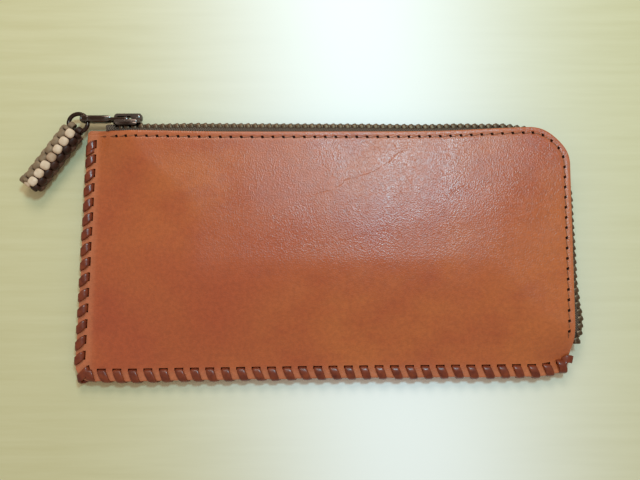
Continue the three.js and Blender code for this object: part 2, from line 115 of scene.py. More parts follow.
# Slider, pull, ring and charm, from the left edge and outwards from the top edge.
PIVOT_X = 15.5
PIVOT_OUT = 5.6
PULL_TIP_X = -4.1
PULL_THICK = 2.5
PULL_HALF = 2.05  # half of its width
RING_X = -3.6
RING_OUT = 4.1
RING_RADIUS = 3.7
RING_WIRE = 0.82  # radius of the wire
RING_GAP = 0.045  # half of the gap at its joint, in radians
CHARM_ANGLE = math.radians(234.6)
CHARM_NECK = 1.1
CHARM_TIERS = 7
CHARM_TIER = 3.85
CHARM_RADIUS = 4.6
CHARM_ROLL = math.radians(-15)
DARKER_CUSHION = (2, 3)  # the column and tier of the one beige cushion that is darker than the rest

# Unit directions: along the zipped top edge, outwards from it, and out of the front.
ALONG, OUTWARD, UPWARD = Vector((1, 0, 0)), Vector((0, 1, 0)), Vector((0, 0, 1))

# The pockets inside.
POCKET_LOW = -24
POCKET_LEFT = -68
POCKET_RIGHT = 78
LINING_THICK = 0.5
LAYER = 0.7  # from one pocket sheet to the next
POCKET_FLOOR = 1.75

# Light.
WINDOW_POWER = 1.45
FILL_POWER = 1.2
ROOM_LIGHT = 0.55

# Colours.
BASE_MID = (0.41, 0.084, 0.023)
BASE_LIGHT = (0.45, 0.105, 0.025)
BASE_DARK = (0.385, 0.068, 0.021)
BASE_DEEP = (0.325, 0.046, 0.015)
# Edge strips: partly rubbed leather, partly a painted highlight where the margins catch the light.
BASE_RUBBED_AND_LIT = (0.54, 0.165, 0.072)
# Painted shade for the creases and wrinkles.
BASE_CREASE_SHADE = (0.20, 0.045, 0.022)
# Long creases in the leather: both ends in millimetres, and how deep.
CREASES = [
    ((-16, 20), (46, 43), 1.0),
    ((-26, 0), (72, 14), 0.8),
    ((22, 12), (84, 33), 0.7),
    ((-24, 15), (-2, 9), 0.7),
    ((-6, 22), (2, 7), 0.6),
    ((-6, 42), (6, 28), 0.6),
    ((20, 2), (38, 40), 0.4),
    ((44, 8), (50, 42), 0.3),
]
CREASE_WIDTH = 0.21
CREASE_SWAY = 14
CREASE_SHAKE = 1.9
TAPE_RIB = 0.92  # from one slanted rib of the weave to the next
# The weave's ribs: painted shade in the grooves, the tape's own colour, and painted highlight on the
# ridges.
TAPE_GROOVE_SHADE = (0.022, 0.009, 0.005)
TAPE_MID = (0.066, 0.036, 0.023)
TAPE_RIDGE_HIGHLIGHT = (0.21, 0.145, 0.10)
LACE_DARK = (0.10, 0.012, 0.004)
LACE_LIGHT = (0.225, 0.038, 0.010)
LINING_DARK = (0.42, 0.20, 0.09)
LINING_LIGHT = (0.52, 0.27, 0.13)
TOOTH_DARK = (0.052, 0.028, 0.016)
TOOTH_LIGHT = (0.145, 0.086, 0.052)
TOOTH_WORN = (0.36, 0.27, 0.19)
NICKEL_DARK = (0.030, 0.017, 0.013)
NICKEL_LIGHT = (0.085, 0.051, 0.041)
NICKEL_WORN = (0.36, 0.32, 0.30)
THREAD_DARK = (0.16, 0.040, 0.013)
THREAD_LIGHT = (0.30, 0.10, 0.035)
# Painted shade inside the punched holes and slots.
HOLLOW_SHADE_DARK = (0.06, 0.014, 0.005)
HOLLOW_SHADE_LIGHT = (0.11, 0.03, 0.011)
FLOOR_DARK = (0.56, 0.48, 0.262)
FLOOR_LIGHT = (0.61, 0.53, 0.31)
# Painted reflection of the window on the table top: its colour, place, lean and width.
FLOOR_WINDOW_SHEEN = (0.90, 0.88, 0.86)
SHEEN_X = 22
SHEEN_LEAN = 0.1
SHEEN_WIDTH = 47
SHADER_INPUTS = {
    "color": "Base Color",
    "rough": "Roughness",
    "metallic": "Metallic",
    "specular": "Specular IOR Level",
    "coat": "Coat Weight",
    "coat_rough": "Coat Roughness",
    "normal": "Normal",
}


# ---- Small helpers ----


def smooth(t):
    t = min(max(t, 0.0), 1.0)
    return t * t * (3 - 2 * t)


def pillow(t):
    """0 to 1 like a cushion's edge: a soft turn upwards, then ever flatter."""
    t = max(0.0, min(1.0, t))
    turned = 1.15 * t * t / (t + 0.15)
    return 1 - (1 - turned) ** 1.7


def lerp(a, b, t):
    return a + (b - a) * t


def up_by(z):
    return Vector((0, 0, z))


def wander(x, y, size, seed=0.0):
    """Smooth noise from -1 to 1 whose bumps are about size apart."""
    return noise.noise(Vector((x / size, y / size, seed)))


class Shape:
    """Points and faces in millimetres that become one mesh object."""

    def __init__(self):
        self.points = []
        self.faces = []
        self.looks = []

    def add(self, points, faces, look=0):
        start = len(self.points)
        self.points.extend(tuple(p) for p in points)
        self.faces.extend([start + i for i in face] for face in faces)
        self.looks.extend([look] * len(faces))

    def build(self, name, materials, sharp=40):
        mesh = bpy.data.meshes.new(name)
        mesh.from_pydata([(x * MM, y * MM, z * MM) for x, y, z in self.points], [], self.faces)
        for material in materials:
            mesh.materials.append(material)
        mesh.polygons.foreach_set("material_index", self.looks)
        mesh.polygons.foreach_set("use_smooth", [True] * len(self.faces))
        mesh.update()
        mesh.set_sharp_from_angle(angle=math.radians(sharp))
        obj = bpy.data.objects.new(name, mesh)
        bpy.context.scene.collection.objects.link(obj)
        return obj


def rings_to_shape(shape, rings, closed=False, look=0):
    """Joins rings of equally many points into a tube, capped unless it closes on itself."""
    size = len(rings[0])
    points = [p for ring in rings for p in ring]
    faces = []
    count = len(rings)
    for i in range(count if closed else count - 1):
        a, b = i * size, (i + 1) % count * size
        for j in range(size):
            k = (j + 1) % size
            faces.append((a + j, a + k, b + k, b + j))
    if not closed:
        faces.append(tuple(reversed(range(size))))
        faces.append(tuple((count - 1) * size + j for j in range(size)))
    shape.add(points, faces, look)


def curve_through(points, steps):
    """A smooth line through points (Catmull-Rom), steps samples for each stretch."""
    points = [Vector(p) for p in points]
    padded = [points[0] * 2 - points[1]] + points + [points[-1] * 2 - points[-2]]
    line = []
    for a, b, c, d in zip(padded, padded[1:], padded[2:], padded[3:]):
        for i in range(steps):
            t = i / steps
            bent = (2 * a - 5 * b + 4 * c - d) * t**2 + (3 * b - a - 3 * c + d) * t**3
            line.append(0.5 * (2 * b + (c - a) * t + bent))
    line.append(points[-1])
    return line


def soft_rectangle(width, height, count=14, squareness=0.45):
    """A rounded rectangle's section, centred, as (across, up) pairs."""
    section = []
    for i in range(count):
        angle = 2 * math.pi * (i + 0.5) / count
        c, s = math.cos(angle), math.sin(angle)
        across = math.copysign(abs(c) ** squareness, c) * width / 2
        up = math.copysign(abs(s) ** (squareness + 0.2), s) * height / 2
        section.append((across, up))
    return section


def sweep(shape, line, across, section, look=0):
    """A strap or wire along line. across(i) is the direction of the section's width there."""
    rings = []
    for i, point in enumerate(line):
        tangent = (line[min(i + 1, len(line) - 1)] - line[max(i - 1, 0)]).normalized()
        up = tangent.cross(across(i)).normalized()
        side = up.cross(tangent)
        rings.append([point + side * a + up * b for a, b in section])
    rings_to_shape(shape, rings, look=look)


def round_wire(radius, count=10):
    turns = [2 * math.pi * i / count for i in range(count)]
    return [(radius * math.cos(turn), radius * math.sin(turn)) for turn in turns]


def soft_block(shape, centre, axes, size, squareness=0.35, rows=8, columns=16, look=0):
    """A superellipsoid. Axes are its three unit vectors, and size its full lengths along them."""
    points = []
    for i in range(1, rows):
        v = math.pi * (i / rows - 0.5)
        for j in range(columns):
            u = 2 * math.pi * (j + 0.5) / columns
            raw = (math.cos(v) * math.cos(u), math.cos(v) * math.sin(u), math.sin(v))
            length = sum(abs(c) ** (2 / squareness) for c in raw) ** (squareness / 2)
            local = [c / length * s / 2 for c, s in zip(raw, size)]
            points.append(centre + axes[0] * local[0] + axes[1] * local[1] + axes[2] * local[2])
    low = centre - axes[2] * size[2] / 2
    high = centre + axes[2] * size[2] / 2
    points += [low, high]
    faces = []
    for i in range(rows - 2):
        for j in range(columns):
            k = (j + 1) % columns
            row, above = i * columns, (i + 1) * columns
            faces.append((row + j, row + k, above + k, above + j))
    last = (rows - 2) * columns
    for j in range(columns):
        k = (j + 1) % columns
        faces.append((k, j, len(points) - 2))
        faces.append((last + j, last + k, len(points) - 1))
    shape.add(points, faces, look)


def cut(obj, cutters):
    """Takes the closed shapes in cutters out of obj. The cut walls take the cutters' second material,
    the painted shade of a hollow.
    """
    cutter = cutters.build("cutter", [PANEL, HOLLOW_SHADE])
    modifier = obj.modifiers.new("cut", "BOOLEAN")
    modifier.operation = "DIFFERENCE"
    modifier.solver = "MANIFOLD"
    modifier.object = cutter
    bpy.context.view_layer.update()
    done = bpy.data.meshes.new_from_object(obj.evaluated_get(bpy.context.evaluated_depsgraph_get()))
    obj.modifiers.clear()
    obj.data = done
    bpy.data.objects.remove(cutter)
    done.polygons.foreach_set("use_smooth", [True] * len(done.polygons))
    done.set_sharp_from_angle(angle=math.radians(40))


# ---- Node helpers ----


def new_material(name):
    material = bpy.data.materials.new(name)
    material.use_nodes = True
    tree = material.node_tree
    return material, tree, tree.nodes["Principled BSDF"]


def node(tree, kind, **settings):
    made = tree.nodes.new(kind)
    for key, value in settings.items():
        if key in made.inputs:
            made.inputs[key].default_value = value
        else:
            setattr(made, key, value)
    return made


def link(tree, out, into):
    tree.links.new(out, into)


def feed(tree, value, socket):
    """Sets an input to a number or a colour, or links it to another node's output."""
    if isinstance(value, bpy.types.NodeSocket):
        link(tree, value, socket)
    else:
        socket.default_value = (*value, 1) if isinstance(value, tuple) else value


def dress(tree, shader, **looks):
    """Sets the shader's inputs by the short names of SHADER_INPUTS."""
    for name, value in looks.items():
        feed(tree, value, shader.inputs[SHADER_INPUTS[name]])


def object_coordinates(tree, scale=(1, 1, 1), turn=(0, 0, 0)):
    coordinates = node(tree, "ShaderNodeTexCoord")
    mapping = node(tree, "ShaderNodeMapping")
    mapping.inputs["Scale"].default_value = scale
    mapping.inputs["Rotation"].default_value = turn
    link(tree, coordinates.outputs["Object"], mapping.inputs["Vector"])
    return mapping.outputs["Vector"]


def ramp(tree, value, stops):
    made = node(tree, "ShaderNodeValToRGB")
    elements = made.color_ramp.elements
    while len(elements) < len(stops):
        elements.new(0.5)
    for element, (at, color) in zip(elements, stops):
        element.position = at
        element.color = (*color, 1) if len(color) == 3 else color
    link(tree, value, made.inputs["Fac"])
    return made.outputs["Color"]


def mix(tree, share, a, b, blend="MIX"):
    made = node(tree, "ShaderNodeMix", data_type="RGBA", blend_type=blend)
    for value, index in ((share, 0), (a, 6), (b, 7)):
        feed(tree, value, made.inputs[index])
    return made.outputs[2]


def math_node(tree, operation, a, b=0.5):
    made = node(tree, "ShaderNodeMath", operation=operation)
    feed(tree, a, made.inputs[0])
    feed(tree, b, made.inputs[1])
    return made.outputs[0]


def times(tree, a, b):
    return math_node(tree, "MULTIPLY", a, b)


def plus(tree, a, b):
    return math_node(tree, "ADD", a, b)


def vector_math(tree, operation, a, b):
    made = node(tree, "ShaderNodeVectorMath", operation=operation)
    link(tree, a, made.inputs[0])
    made.inputs[1].default_value = b
    return made.outputs["Value" if operation == "DOT_PRODUCT" else "Vector"]


def map_range(tree, value, source, target):
    """Eases from target[0] to target[1] as value goes over source."""
    made = node(tree, "ShaderNodeMapRange", interpolation_type="SMOOTHSTEP")
    link(tree, value, made.inputs["Value"])
    for name, number in zip(("From Min", "From Max", "To Min", "To Max"), (*source, *target)):
        made.inputs[name].default_value = number
    return made.outputs["Result"]


def grey(value):
    return (value, value, value)


def noise_value(tree, vector, scale, detail, roughness):
    made = node(tree, "ShaderNodeTexNoise", Scale=scale, Detail=detail, Roughness=roughness)
    link(tree, vector, made.inputs["Vector"])
    return made.outputs["Fac"]


def bump(tree, height, distance, strength=1.0, below=None):
    made = node(tree, "ShaderNodeBump", Strength=strength, Distance=distance * MM)
    link(tree, height, made.inputs["Height"])
    if below is not None:
        link(tree, below, made.inputs["Normal"])
    return made.outputs["Normal"]


# ---- Materials ----


def make_panel_leather():
    """Waxed leather with cloudy dye, a pebbled grain, fine wrinkles and a few long creases, darkened
    with painted shade in their folds.
    """
    material, tree, shader = new_material("panel_leather")
    where = object_coordinates(tree)
    cloud = noise_value(tree, where, 17, 3, 0.5)
    base = ramp(tree, cloud, [(0.34, BASE_DARK), (0.5, BASE_MID), (0.66, BASE_LIGHT)])
    patch = noise_value(tree, object_coordinates(tree, (1, 1.5, 1), (0, 0, 0.5)), 42, 5, 0.6)
    patch = ramp(tree, patch, [(0.5, grey(0)), (0.78, grey(0.6))])
    base = mix(tree, patch, base, BASE_DEEP)
    # Lighter, pinker strips along the edges: partly rubbed leather, partly a painted highlight where
    # the laced margins curve up and catch the light.
    rim = node(tree, "ShaderNodeAttribute", attribute_name="rim")
    base = mix(tree, times(tree, rim.outputs["Fac"], 0.5), base, BASE_RUBBED_AND_LIT)
    creased = node(tree, "ShaderNodeAttribute", attribute_name="creased")
    crease = crease_lines(tree, where)
    wrinkle = times(tree, wrinkles(tree, where), creased.outputs["Fac"])
    # Creases and wrinkles are darkened: painted shade in their folds.
    base = mix(tree, times(tree, crease, 0.3), base, BASE_CREASE_SHADE)
    base = mix(tree, times(tree, wrinkle, 0.24), base, BASE_CREASE_SHADE)
    speckle = noise_value(tree, where, 700, 3, 0.7)
    speckle = ramp(tree, speckle, [(0.35, grey(0.9)), (0.65, grey(1.08))])
    base = mix(tree, 1.0, base, speckle, "MULTIPLY")
    rough = noise_value(tree, where, 60, 4, 0.6)
    rough = ramp(tree, rough, [(0.35, grey(0.25)), (0.65, grey(0.34))])
    grain = node(tree, "ShaderNodeTexVoronoi", feature="F1", Scale=1900.0)
    link(tree, noise_shifted(tree, where, 700, 0.0005), grain.inputs["Vector"])
    normal = bump(tree, grain.outputs["Distance"], 0.07, 0.75)
    normal = bump(tree, noise_value(tree, where, 2400, 2, 0.6), 0.03, 0.55, normal)
    normal = bump(tree, noise_value(tree, where, 160, 3, 0.5), 0.09, 0.4, normal)
    normal = bump(tree, math_node(tree, "SUBTRACT", 1.0, wrinkle), 0.05, 0.33, normal)
    normal = bump(tree, math_node(tree, "SUBTRACT", 1.0, crease), 0.09, 0.65, normal)
    dress(tree, shader, color=base, rough=rough, specular=0.5, normal=normal)
    return material


def crease_lines(tree, where):
    """1 on the long creases and 0 elsewhere. Each crease wanders, and fades at both ends."""
    slow = math_node(tree, "SUBTRACT", noise_value(tree, where, 55, 2, 0.5), 0.5)
    quick = math_node(tree, "SUBTRACT", noise_value(tree, where, 420, 3, 0.6), 0.5)
    wander_off = times(tree, slow, CREASE_SWAY * MM)
    wander_off = plus(tree, wander_off, times(tree, quick, CREASE_SHAKE * MM))
    lines = None
    for (x0, y0), (x1, y1), strength in CREASES:
        start = Vector((x0, y0, 0)) * MM
        reach = Vector((x1, y1, 0)) * MM - start
        ahead = reach.normalized()
        from_start = vector_math(tree, "SUBTRACT", where, start)
        along = vector_math(tree, "DOT_PRODUCT", from_start, ahead)
        aside = vector_math(tree, "DOT_PRODUCT", from_start, Vector((-ahead.y, ahead.x, 0)))
        aside = math_node(tree, "ABSOLUTE", plus(tree, aside, wander_off))
        line = map_range(tree, aside, (0, CREASE_WIDTH * MM), (strength, 0))
        fade = reach.length * 0.3
        for span, levels in (((0, fade), (0, 1)), ((reach.length - fade, reach.length), (1, 0))):
            line = times(tree, line, map_range(tree, along, span, levels))
        lines = line if lines is None else math_node(tree, "MAXIMUM", lines, line)
    broken = map_range(tree, noise_value(tree, where, 260, 3, 0.6), (0.40, 0.56), (0.15, 1))
    return times(tree, lines, broken)


def wrinkles(tree, where):
    """A fine net of hairline wrinkles that comes and goes."""
    cells = node(tree, "ShaderNodeTexVoronoi", feature="DISTANCE_TO_EDGE", Scale=330.0)
    link(tree, noise_shifted(tree, where, 200, 0.006), cells.inputs["Vector"])
    net = map_range(tree, cells.outputs["Distance"], (0, 0.05), (1, 0))
    shown = map_range(tree, noise_value(tree, where, 75, 3, 0.6), (0.36, 0.6), (0, 1))
    return times(tree, net, shown)


def noise_shifted(tree, vector, scale, amount):
    """Coordinates moved about a little, so that cells aren't evenly round."""
    wobble = node(tree, "ShaderNodeTexNoise", Scale=float(scale), Detail=2.0)
    link(tree, vector, wobble.inputs["Vector"])
    scaled = node(tree, "ShaderNodeVectorMath", operation="SCALE")
    scaled.inputs["Scale"].default_value = amount
    link(tree, wobble.outputs["Color"], scaled.inputs[0])
    added = node(tree, "ShaderNodeVectorMath", operation="ADD")
    link(tree, vector, added.inputs[0])
    link(tree, scaled.outputs[0], added.inputs[1])
    return added.outputs[0]


def make_lace_leather(name, dark, light, roughness, coat):
    """Strap leather: finely mottled, with an uneven shine and a light grain."""
    material, tree, shader = new_material(name)
    where = object_coordinates(tree)
    tone = noise_value(tree, where, 320, 4, 0.6)
    base = ramp(tree, tone, [(0.3, dark), (0.7, light)])
    rough = noise_value(tree, where, 700, 3, 0.6)
    rough = ramp(tree, rough, [(0.3, grey(roughness - 0.07)), (0.7, grey(roughness + 0.1))])
    normal = bump(tree, noise_value(tree, where, 1500, 3, 0.65), 0.05, 0.5)
    normal = bump(tree, noise_value(tree, where, 380, 2, 0.5), 0.08, 0.5, normal)
    dress(tree, shader, color=base, rough=rough, normal=normal)
    dress(tree, shader, specular=0.3, coat=coat, coat_rough=0.22)
    return material


def make_woven_tape():
    """Herringbone tape. The weave follows the mesh's own map: along the tape, and across it."""
    material, tree, shader = new_material("zip_tape")
    coordinates = node(tree, "ShaderNodeUVMap", uv_map="weave")
    split = node(tree, "ShaderNodeSeparateXYZ")
    link(tree, coordinates.outputs["UV"], split.inputs["Vector"])
    along, across = split.outputs["X"], split.outputs["Y"]
    # Each rib leans one way and then the other, in rows 1.1 mm wide.
    row = math_node(tree, "PINGPONG", math_node(tree, "DIVIDE", across, 1.1), 1.0)
    slanted = plus(tree, along, row)
    rib = math_node(tree, "SINE", times(tree, slanted, 2 * math.pi / TAPE_RIB))
    rib = plus(tree, times(tree, rib, 0.5), 0.5)
    # Each rib is coloured dark in its groove and light on its ridge: painted shade and highlight.
    base = ramp(tree, rib, [(0.0, TAPE_GROOVE_SHADE), (0.6, TAPE_MID), (1.0, TAPE_RIDGE_HIGHLIGHT)])
    fuzz = noise_value(tree, object_coordinates(tree), 3500, 2, 0.6)
    normal = bump(tree, fuzz, 0.05, 0.5, bump(tree, rib, 0.25, 0.9))
    dress(tree, shader, color=base, rough=0.8, normal=normal)
    return material


def make_metal(name, dark, light, roughness, worn):
    """Plated metal with faint cloudiness, fine scuffs and brighter worn edges."""
    material, tree, shader = new_material(name)
    where = object_coordinates(tree)
    cloud = noise_value(tree, where, 260, 4, 0.6)
    base = ramp(tree, cloud, [(0.3, dark), (0.75, light)])
    geometry = node(tree, "ShaderNodeNewGeometry")
    edge = ramp(tree, geometry.outputs["Pointiness"], [(0.52, grey(0)), (0.6, grey(1))])
    base = mix(tree, times(tree, edge, 0.5), base, worn)
    scuffs = noise_value(tree, object_coordinates(tree, (1, 6, 3)), 900, 3, 0.7)
    rough = ramp(tree, scuffs, [(0.3, grey(roughness - 0.05)), (0.7, grey(roughness + 0.12))])
    normal = bump(tree, scuffs, 0.01, 0.4)
    dress(tree, shader, color=base, metallic=1.0, rough=rough, normal=normal)
    return material


def make_thread():
    """Waxed thread with the slant of its twist."""
    material, tree, shader = new_material("waxed_thread")
    where = object_coordinates(tree)
    tone = noise_value(tree, where, 900, 2, 0.5)
    base = ramp(tree, tone, [(0.3, THREAD_DARK), (0.7, THREAD_LIGHT)])
    normal = bump(tree, noise_value(tree, where, 4200, 1, 0.5), 0.05, 0.8)
    dress(tree, shader, color=base, rough=0.5, normal=normal)
    return material


def make_hollow_shade():
    """The inside of a punched hole or slot, painted dark as the shade within it."""
    material, tree, shader = new_material("punched_hole_shade")
    tone = noise_value(tree, object_coordinates(tree), 1800, 2, 0.5)
    base = ramp(tree, tone, [(0.3, HOLLOW_SHADE_DARK), (0.7, HOLLOW_SHADE_LIGHT)])
    dress(tree, shader, color=base, rough=0.9)
    return material


def make_floor():
    """A pale table top with a painted reflection of the window: a soft, paler band across it."""
    material, tree, shader = new_material("floor")
    where = object_coordinates(tree)
    streaks = noise_value(tree, object_coordinates(tree, (6, 90, 1)), 3, 4, 0.6)
    base = ramp(tree, streaks, [(0.3, FLOOR_DARK), (0.7, FLOOR_LIGHT)])
    split = node(tree, "ShaderNodeSeparateXYZ")
    link(tree, where, split.inputs["Vector"])
    # The painted window reflection leans a little: its middle lies at its set place less the lean times
    # y.
    lean = times(tree, split.outputs["Y"], SHEEN_LEAN)
    aside = math_node(tree, "SUBTRACT", split.outputs["X"], SHEEN_X * MM)
    aside = math_node(tree, "DIVIDE", plus(tree, aside, lean), SHEEN_WIDTH * MM)
    spread = times(tree, times(tree, aside, aside), -0.5)
    sheen_band = math_node(tree, "EXPONENT", spread)
    base = mix(tree, sheen_band, base, FLOOR_WINDOW_SHEEN)
    dress(tree, shader, color=base, rough=0.6)
    return material


PANEL = make_panel_leather()
LACE = make_lace_leather("lace_leather", LACE_DARK, LACE_LIGHT, 0.3, 0.15)
LINING = make_lace_leather("lining_leather", LINING_DARK, LINING_LIGHT, 0.6, 0.0)
TAPE = make_woven_tape()
TOOTH = make_metal("tooth_metal", TOOTH_DARK, TOOTH_LIGHT, 0.4, TOOTH_WORN)
NICKEL = make_metal("black_nickel", NICKEL_DARK, NICKEL_LIGHT, 0.18, NICKEL_WORN)
THREAD = make_thread()
HOLLOW_SHADE = make_hollow_shade()
BRAID = [
    make_lace_leather("braid_taupe", (0.17, 0.10, 0.055), (0.30, 0.195, 0.12), 0.6, 0.0),
    make_lace_leather("braid_beige", (0.55, 0.36, 0.23), (0.74, 0.55, 0.41), 0.6, 0.0),
    make_lace_leather("braid_black", (0.016, 0.004, 0.002), (0.05, 0.014, 0.006), 0.5, 0.0),
    make_lace_leather("braid_brown", (0.065, 0.024, 0.012), (0.15, 0.066, 0.036), 0.55, 0.0),
    make_lace_leather("braid_tan", (0.33, 0.19, 0.11), (0.50, 0.33, 0.22), 0.6, 0.0),
]


# ---- The leather panels ----


def from_zip(x, y):
    """Distance from the zipped edges, measured inwards."""
    dx, dy = x - (RIGHT - CORNER_ZIP), y - (TOP - CORNER_ZIP)
    if dx > 0 and dy > 0:
        return CORNER_ZIP - math.hypot(dx, dy)
    return min(RIGHT - x, TOP - y)


def from_lace(x, y):
    """Distance from the laced edges, measured inwards."""
    dx, dy = LEFT + CORNER_LACE - x, BOTTOM + CORNER_LACE - y
    if dx > 0 and dy > 0:
        return CORNER_LACE - math.hypot(dx, dy)
    return min(x - LEFT, y - BOTTOM)


def fullness(x, y):
    """0 along the laced edges and 1 where the wallet is at its full thickness."""
    width = lerp(RISE_AT_ZIP, RISE, smooth(from_zip(x, y) / 34))
    left = pillow((x - LEFT - LACED_MARGIN) / width)
    bottom = pillow((y - BOTTOM - LACED_MARGIN) / width)
    return left * bottom


def front_face(x, y):
    level = smooth((TOP - y - 3) / ZIP_SLOPE_WIDTH) * smooth((RIGHT - x - 3) / ZIP_SLOPE_WIDTH)
    full = FRONT_TOP - ZIP_SLOPE * (1 - level)
    waves = 0.16 * wander(x, y, 34, 3.1) + 0.05 * wander(x, y, 9, 8.4)
    furrow = GROOVE * math.exp(-(((from_zip(x, y) - STITCH_INSET) / 0.6) ** 2))
    return lerp(FRONT_LACE, full + waves - 0.12 - furrow, fullness(x, y))


def back_face(x, y):
    return BACK_LACE * (1 - fullness(x, y))


def top_edge(x):
    past = x - (RIGHT - CORNER_ZIP)
    if past > 0:
        return TOP - CORNER_ZIP + math.sqrt(max(0, CORNER_ZIP**2 - past**2))
    lifted = TOP + CORNER_LIFT * (1 - smooth((x - LEFT - 2) / 14))
    before = LEFT + CORNER_START - x
    if before > 0:
        return lifted - CORNER_START + math.sqrt(max(0, CORNER_START**2 - before**2))
    return lifted


def bottom_edge(x):
    before = LEFT + CORNER_LACE - x
    if before > 0:
        return BOTTOM + CORNER_LACE - math.sqrt(max(0, CORNER_LACE**2 - before**2))
    past = x - (RIGHT - CORNER_END)
    if past > 0:
        return BOTTOM + CORNER_END - math.sqrt(max(0, CORNER_END**2 - past**2))
    return BOTTOM


# Distances from an edge at which the panels' grid has a line.
NEAR_EDGE = [0, 0.12, 0.3, 0.55, 0.9, 1.3, 1.7, 2.0, 2.3, 2.6, 2.9, 3.4, 4.1, 5]


def panel_columns():
    """Places of the grid's columns: closer together where the outline turns."""
    left = [LEFT + d for d in NEAR_EDGE]
    middle = list(np.linspace(LEFT + 6.2, RIGHT - CORNER_ZIP, 130))
    corner = [RIGHT - CORNER_ZIP * (1 - math.sin(a)) for a in np.linspace(0, math.pi / 2, 25)[1:]]
    return left + middle + corner


def panel_rows():
    height = TOP - BOTTOM
    inner = [5 + (height - 10) * i / 70 for i in range(1, 70)]
    return [d / height for d in NEAR_EDGE + inner + [height - d for d in reversed(NEAR_EDGE)]]


def rounding(x, y):
    """How far the face falls away at the cut edge."""
    inside = min(from_zip(x, y) + 0.02, from_lace(x, y) + 0.02)
    if inside >= EDGE_ROUND:
        return 0.0
    return EDGE_ROUND - math.sqrt(max(0.0, EDGE_ROUND**2 - (EDGE_ROUND - max(inside, 0)) ** 2))


def warp(x, y):
    """The outline isn't ruled: it leans, its long edges sag, and it is nipped in where the zip ends."""
    share = (y - BOTTOM) / (TOP - BOTTOM)
    lean = 0.75 * x / RIGHT + 0.8 * (2 * share - 1)
    nip = 0.9 * smooth((x - RIGHT + 14) / 14) * smooth((BOTTOM + 13 - y) / 7)
    pull = 0.35 * smooth((x - RIGHT + 12) / 9) * smooth((y - TOP + 12) / 9)
    low = 0.55 + min(0.75, 0.009 * max(0.0, x - LEFT - 18)) + 1.8 * smooth((x - RIGHT + 14) / 14)
    high = 1.1 * smooth((x - 40) / 45) - 0.7 * smooth((x - LEFT - 8) / 50) * (1 - smooth((x - 20) / 60))
    shift = lean - nip - pull + 0.22 * wander(0, y, 11, 2.2) * smooth((LEFT + 8 - x) / 8)
    rise = lerp(low, high, share) - pull + 0.22 * wander(x, 0, 11, 5.2) * smooth((BOTTOM + 8 - y) / 8)
    return x + shift, y + rise


def warped(p):
    return Vector((*warp(p.x, p.y), p.z))


def build_panel(name, outer, side):
    """A panel of leather. outer(x, y) is its outside face. side is 1 in front and -1 at the back."""
    columns, rows = panel_columns(), panel_rows()
    nx, ny = len(columns), len(rows)
    points = []
    for layer in (0, 1):
        for x in columns:
            for share in rows:
                y = lerp(bottom_edge(x), top_edge(x), share)
                z = outer(x, y) - side * LEATHER * layer
                fall = rounding(x, y) * (1 if layer == 0 else -0.6)
                points.append((*warp(x, y), z - side * fall))

    def at(layer, i, j):
        return layer * nx * ny + i * ny + j

    faces = []
    for i in range(nx - 1):
        for j in range(ny - 1):
            faces.append((at(0, i, j), at(0, i + 1, j), at(0, i + 1, j + 1), at(0, i, j + 1)))
            faces.append((at(1, i, j), at(1, i, j + 1), at(1, i + 1, j + 1), at(1, i + 1, j)))
    for i in range(nx - 1):
        faces.append((at(1, i, 0), at(1, i + 1, 0), at(0, i + 1, 0), at(0, i, 0)))
        faces.append((at(0, i, ny - 1), at(0, i + 1, ny - 1), at(1, i + 1, ny - 1), at(1, i, ny - 1)))
    for j in range(ny - 1):
        faces.append((at(0, 0, j), at(0, 0, j + 1), at(1, 0, j + 1), at(1, 0, j)))
        faces.append((at(1, nx - 1, j), at(1, nx - 1, j + 1), at(0, nx - 1, j + 1), at(0, nx - 1, j)))
    if side < 0:
        faces = [tuple(reversed(f)) for f in faces]
    shape = Shape()
    shape.add(points, faces)
    return shape.build(name, [PANEL, HOLLOW_SHADE])


def paint_panel(obj):
    """Stores the lighter strips along its edges (partly rubbed, partly painted highlight), and where it
    is wrinkled.
    """
    mesh = obj.data
    rim = mesh.attributes.new("rim", "FLOAT", "POINT")
    creased = mesh.attributes.new("creased", "FLOAT", "POINT")
    for i, vertex in enumerate(mesh.vertices):
        x, y = vertex.co.x / MM, vertex.co.y / MM
        # The laced margins are lightened most: partly rubbed, partly painted highlight where they curve
        # up into the light.
        laced = 1 - smooth((from_lace(x, y) - 3.0) / 2.8)
        zipped = 0.45 * (1 - smooth((from_zip(x, y) - 0.8) / 2.0))
        rim.data[i].value = max(laced, zipped)
        right, high = smooth((x - LEFT - 60) / 60), smooth((y - BOTTOM - 25) / 40)
        creased.data[i].value = 0.12 + 0.88 * right * high


# ---- Whip lacing ----


def lace_slots():
    """The slots in lacing order: place, outward direction and distance to the edge.

    The corner's slot comes twice, because two turns of the lace go through it.
    """
    slots = []
    for i in range(LEFT_STITCHES, 0, -1):
        drift = LACE_DRIFT * math.sin(math.pi * i / (LEFT_STITCHES + 1)) ** 2
        y = BOTTOM + LACE_INSET_CORNER + i * LACE_PITCH_LEFT + drift
        slots.append((Vector((LEFT + LACE_INSET, y, 0)), -ALONG, LACE_INSET))
    corner = Vector((LEFT + 4.9, BOTTOM + 4.4, 0))
    for angle, reach in ((194, 4.2), (262, 3.6)):
        out = Vector((math.cos(math.radians(angle)), math.sin(math.radians(angle)), 0))
        slots.append((corner, out, reach))
    for i in range(1, BOTTOM_STITCHES + 1):
        place = Vector((LEFT + LACE_INSET_CORNER + i * LACE_PITCH, BOTTOM + LACE_INSET_BOTTOM, 0))
        slots.append((place, -OUTWARD, LACE_INSET_BOTTOM))
    return slots


def forward_of(out):
    return Vector((-out.y, out.x, 0))


def places_from(slot, places):
    """Points given as (outwards, ahead, height) from a slot."""
    place, out, _ = slot
    ahead = forward_of(out)
    return [place + out * outward + ahead * forward + up_by(z) for outward, forward, z in places]


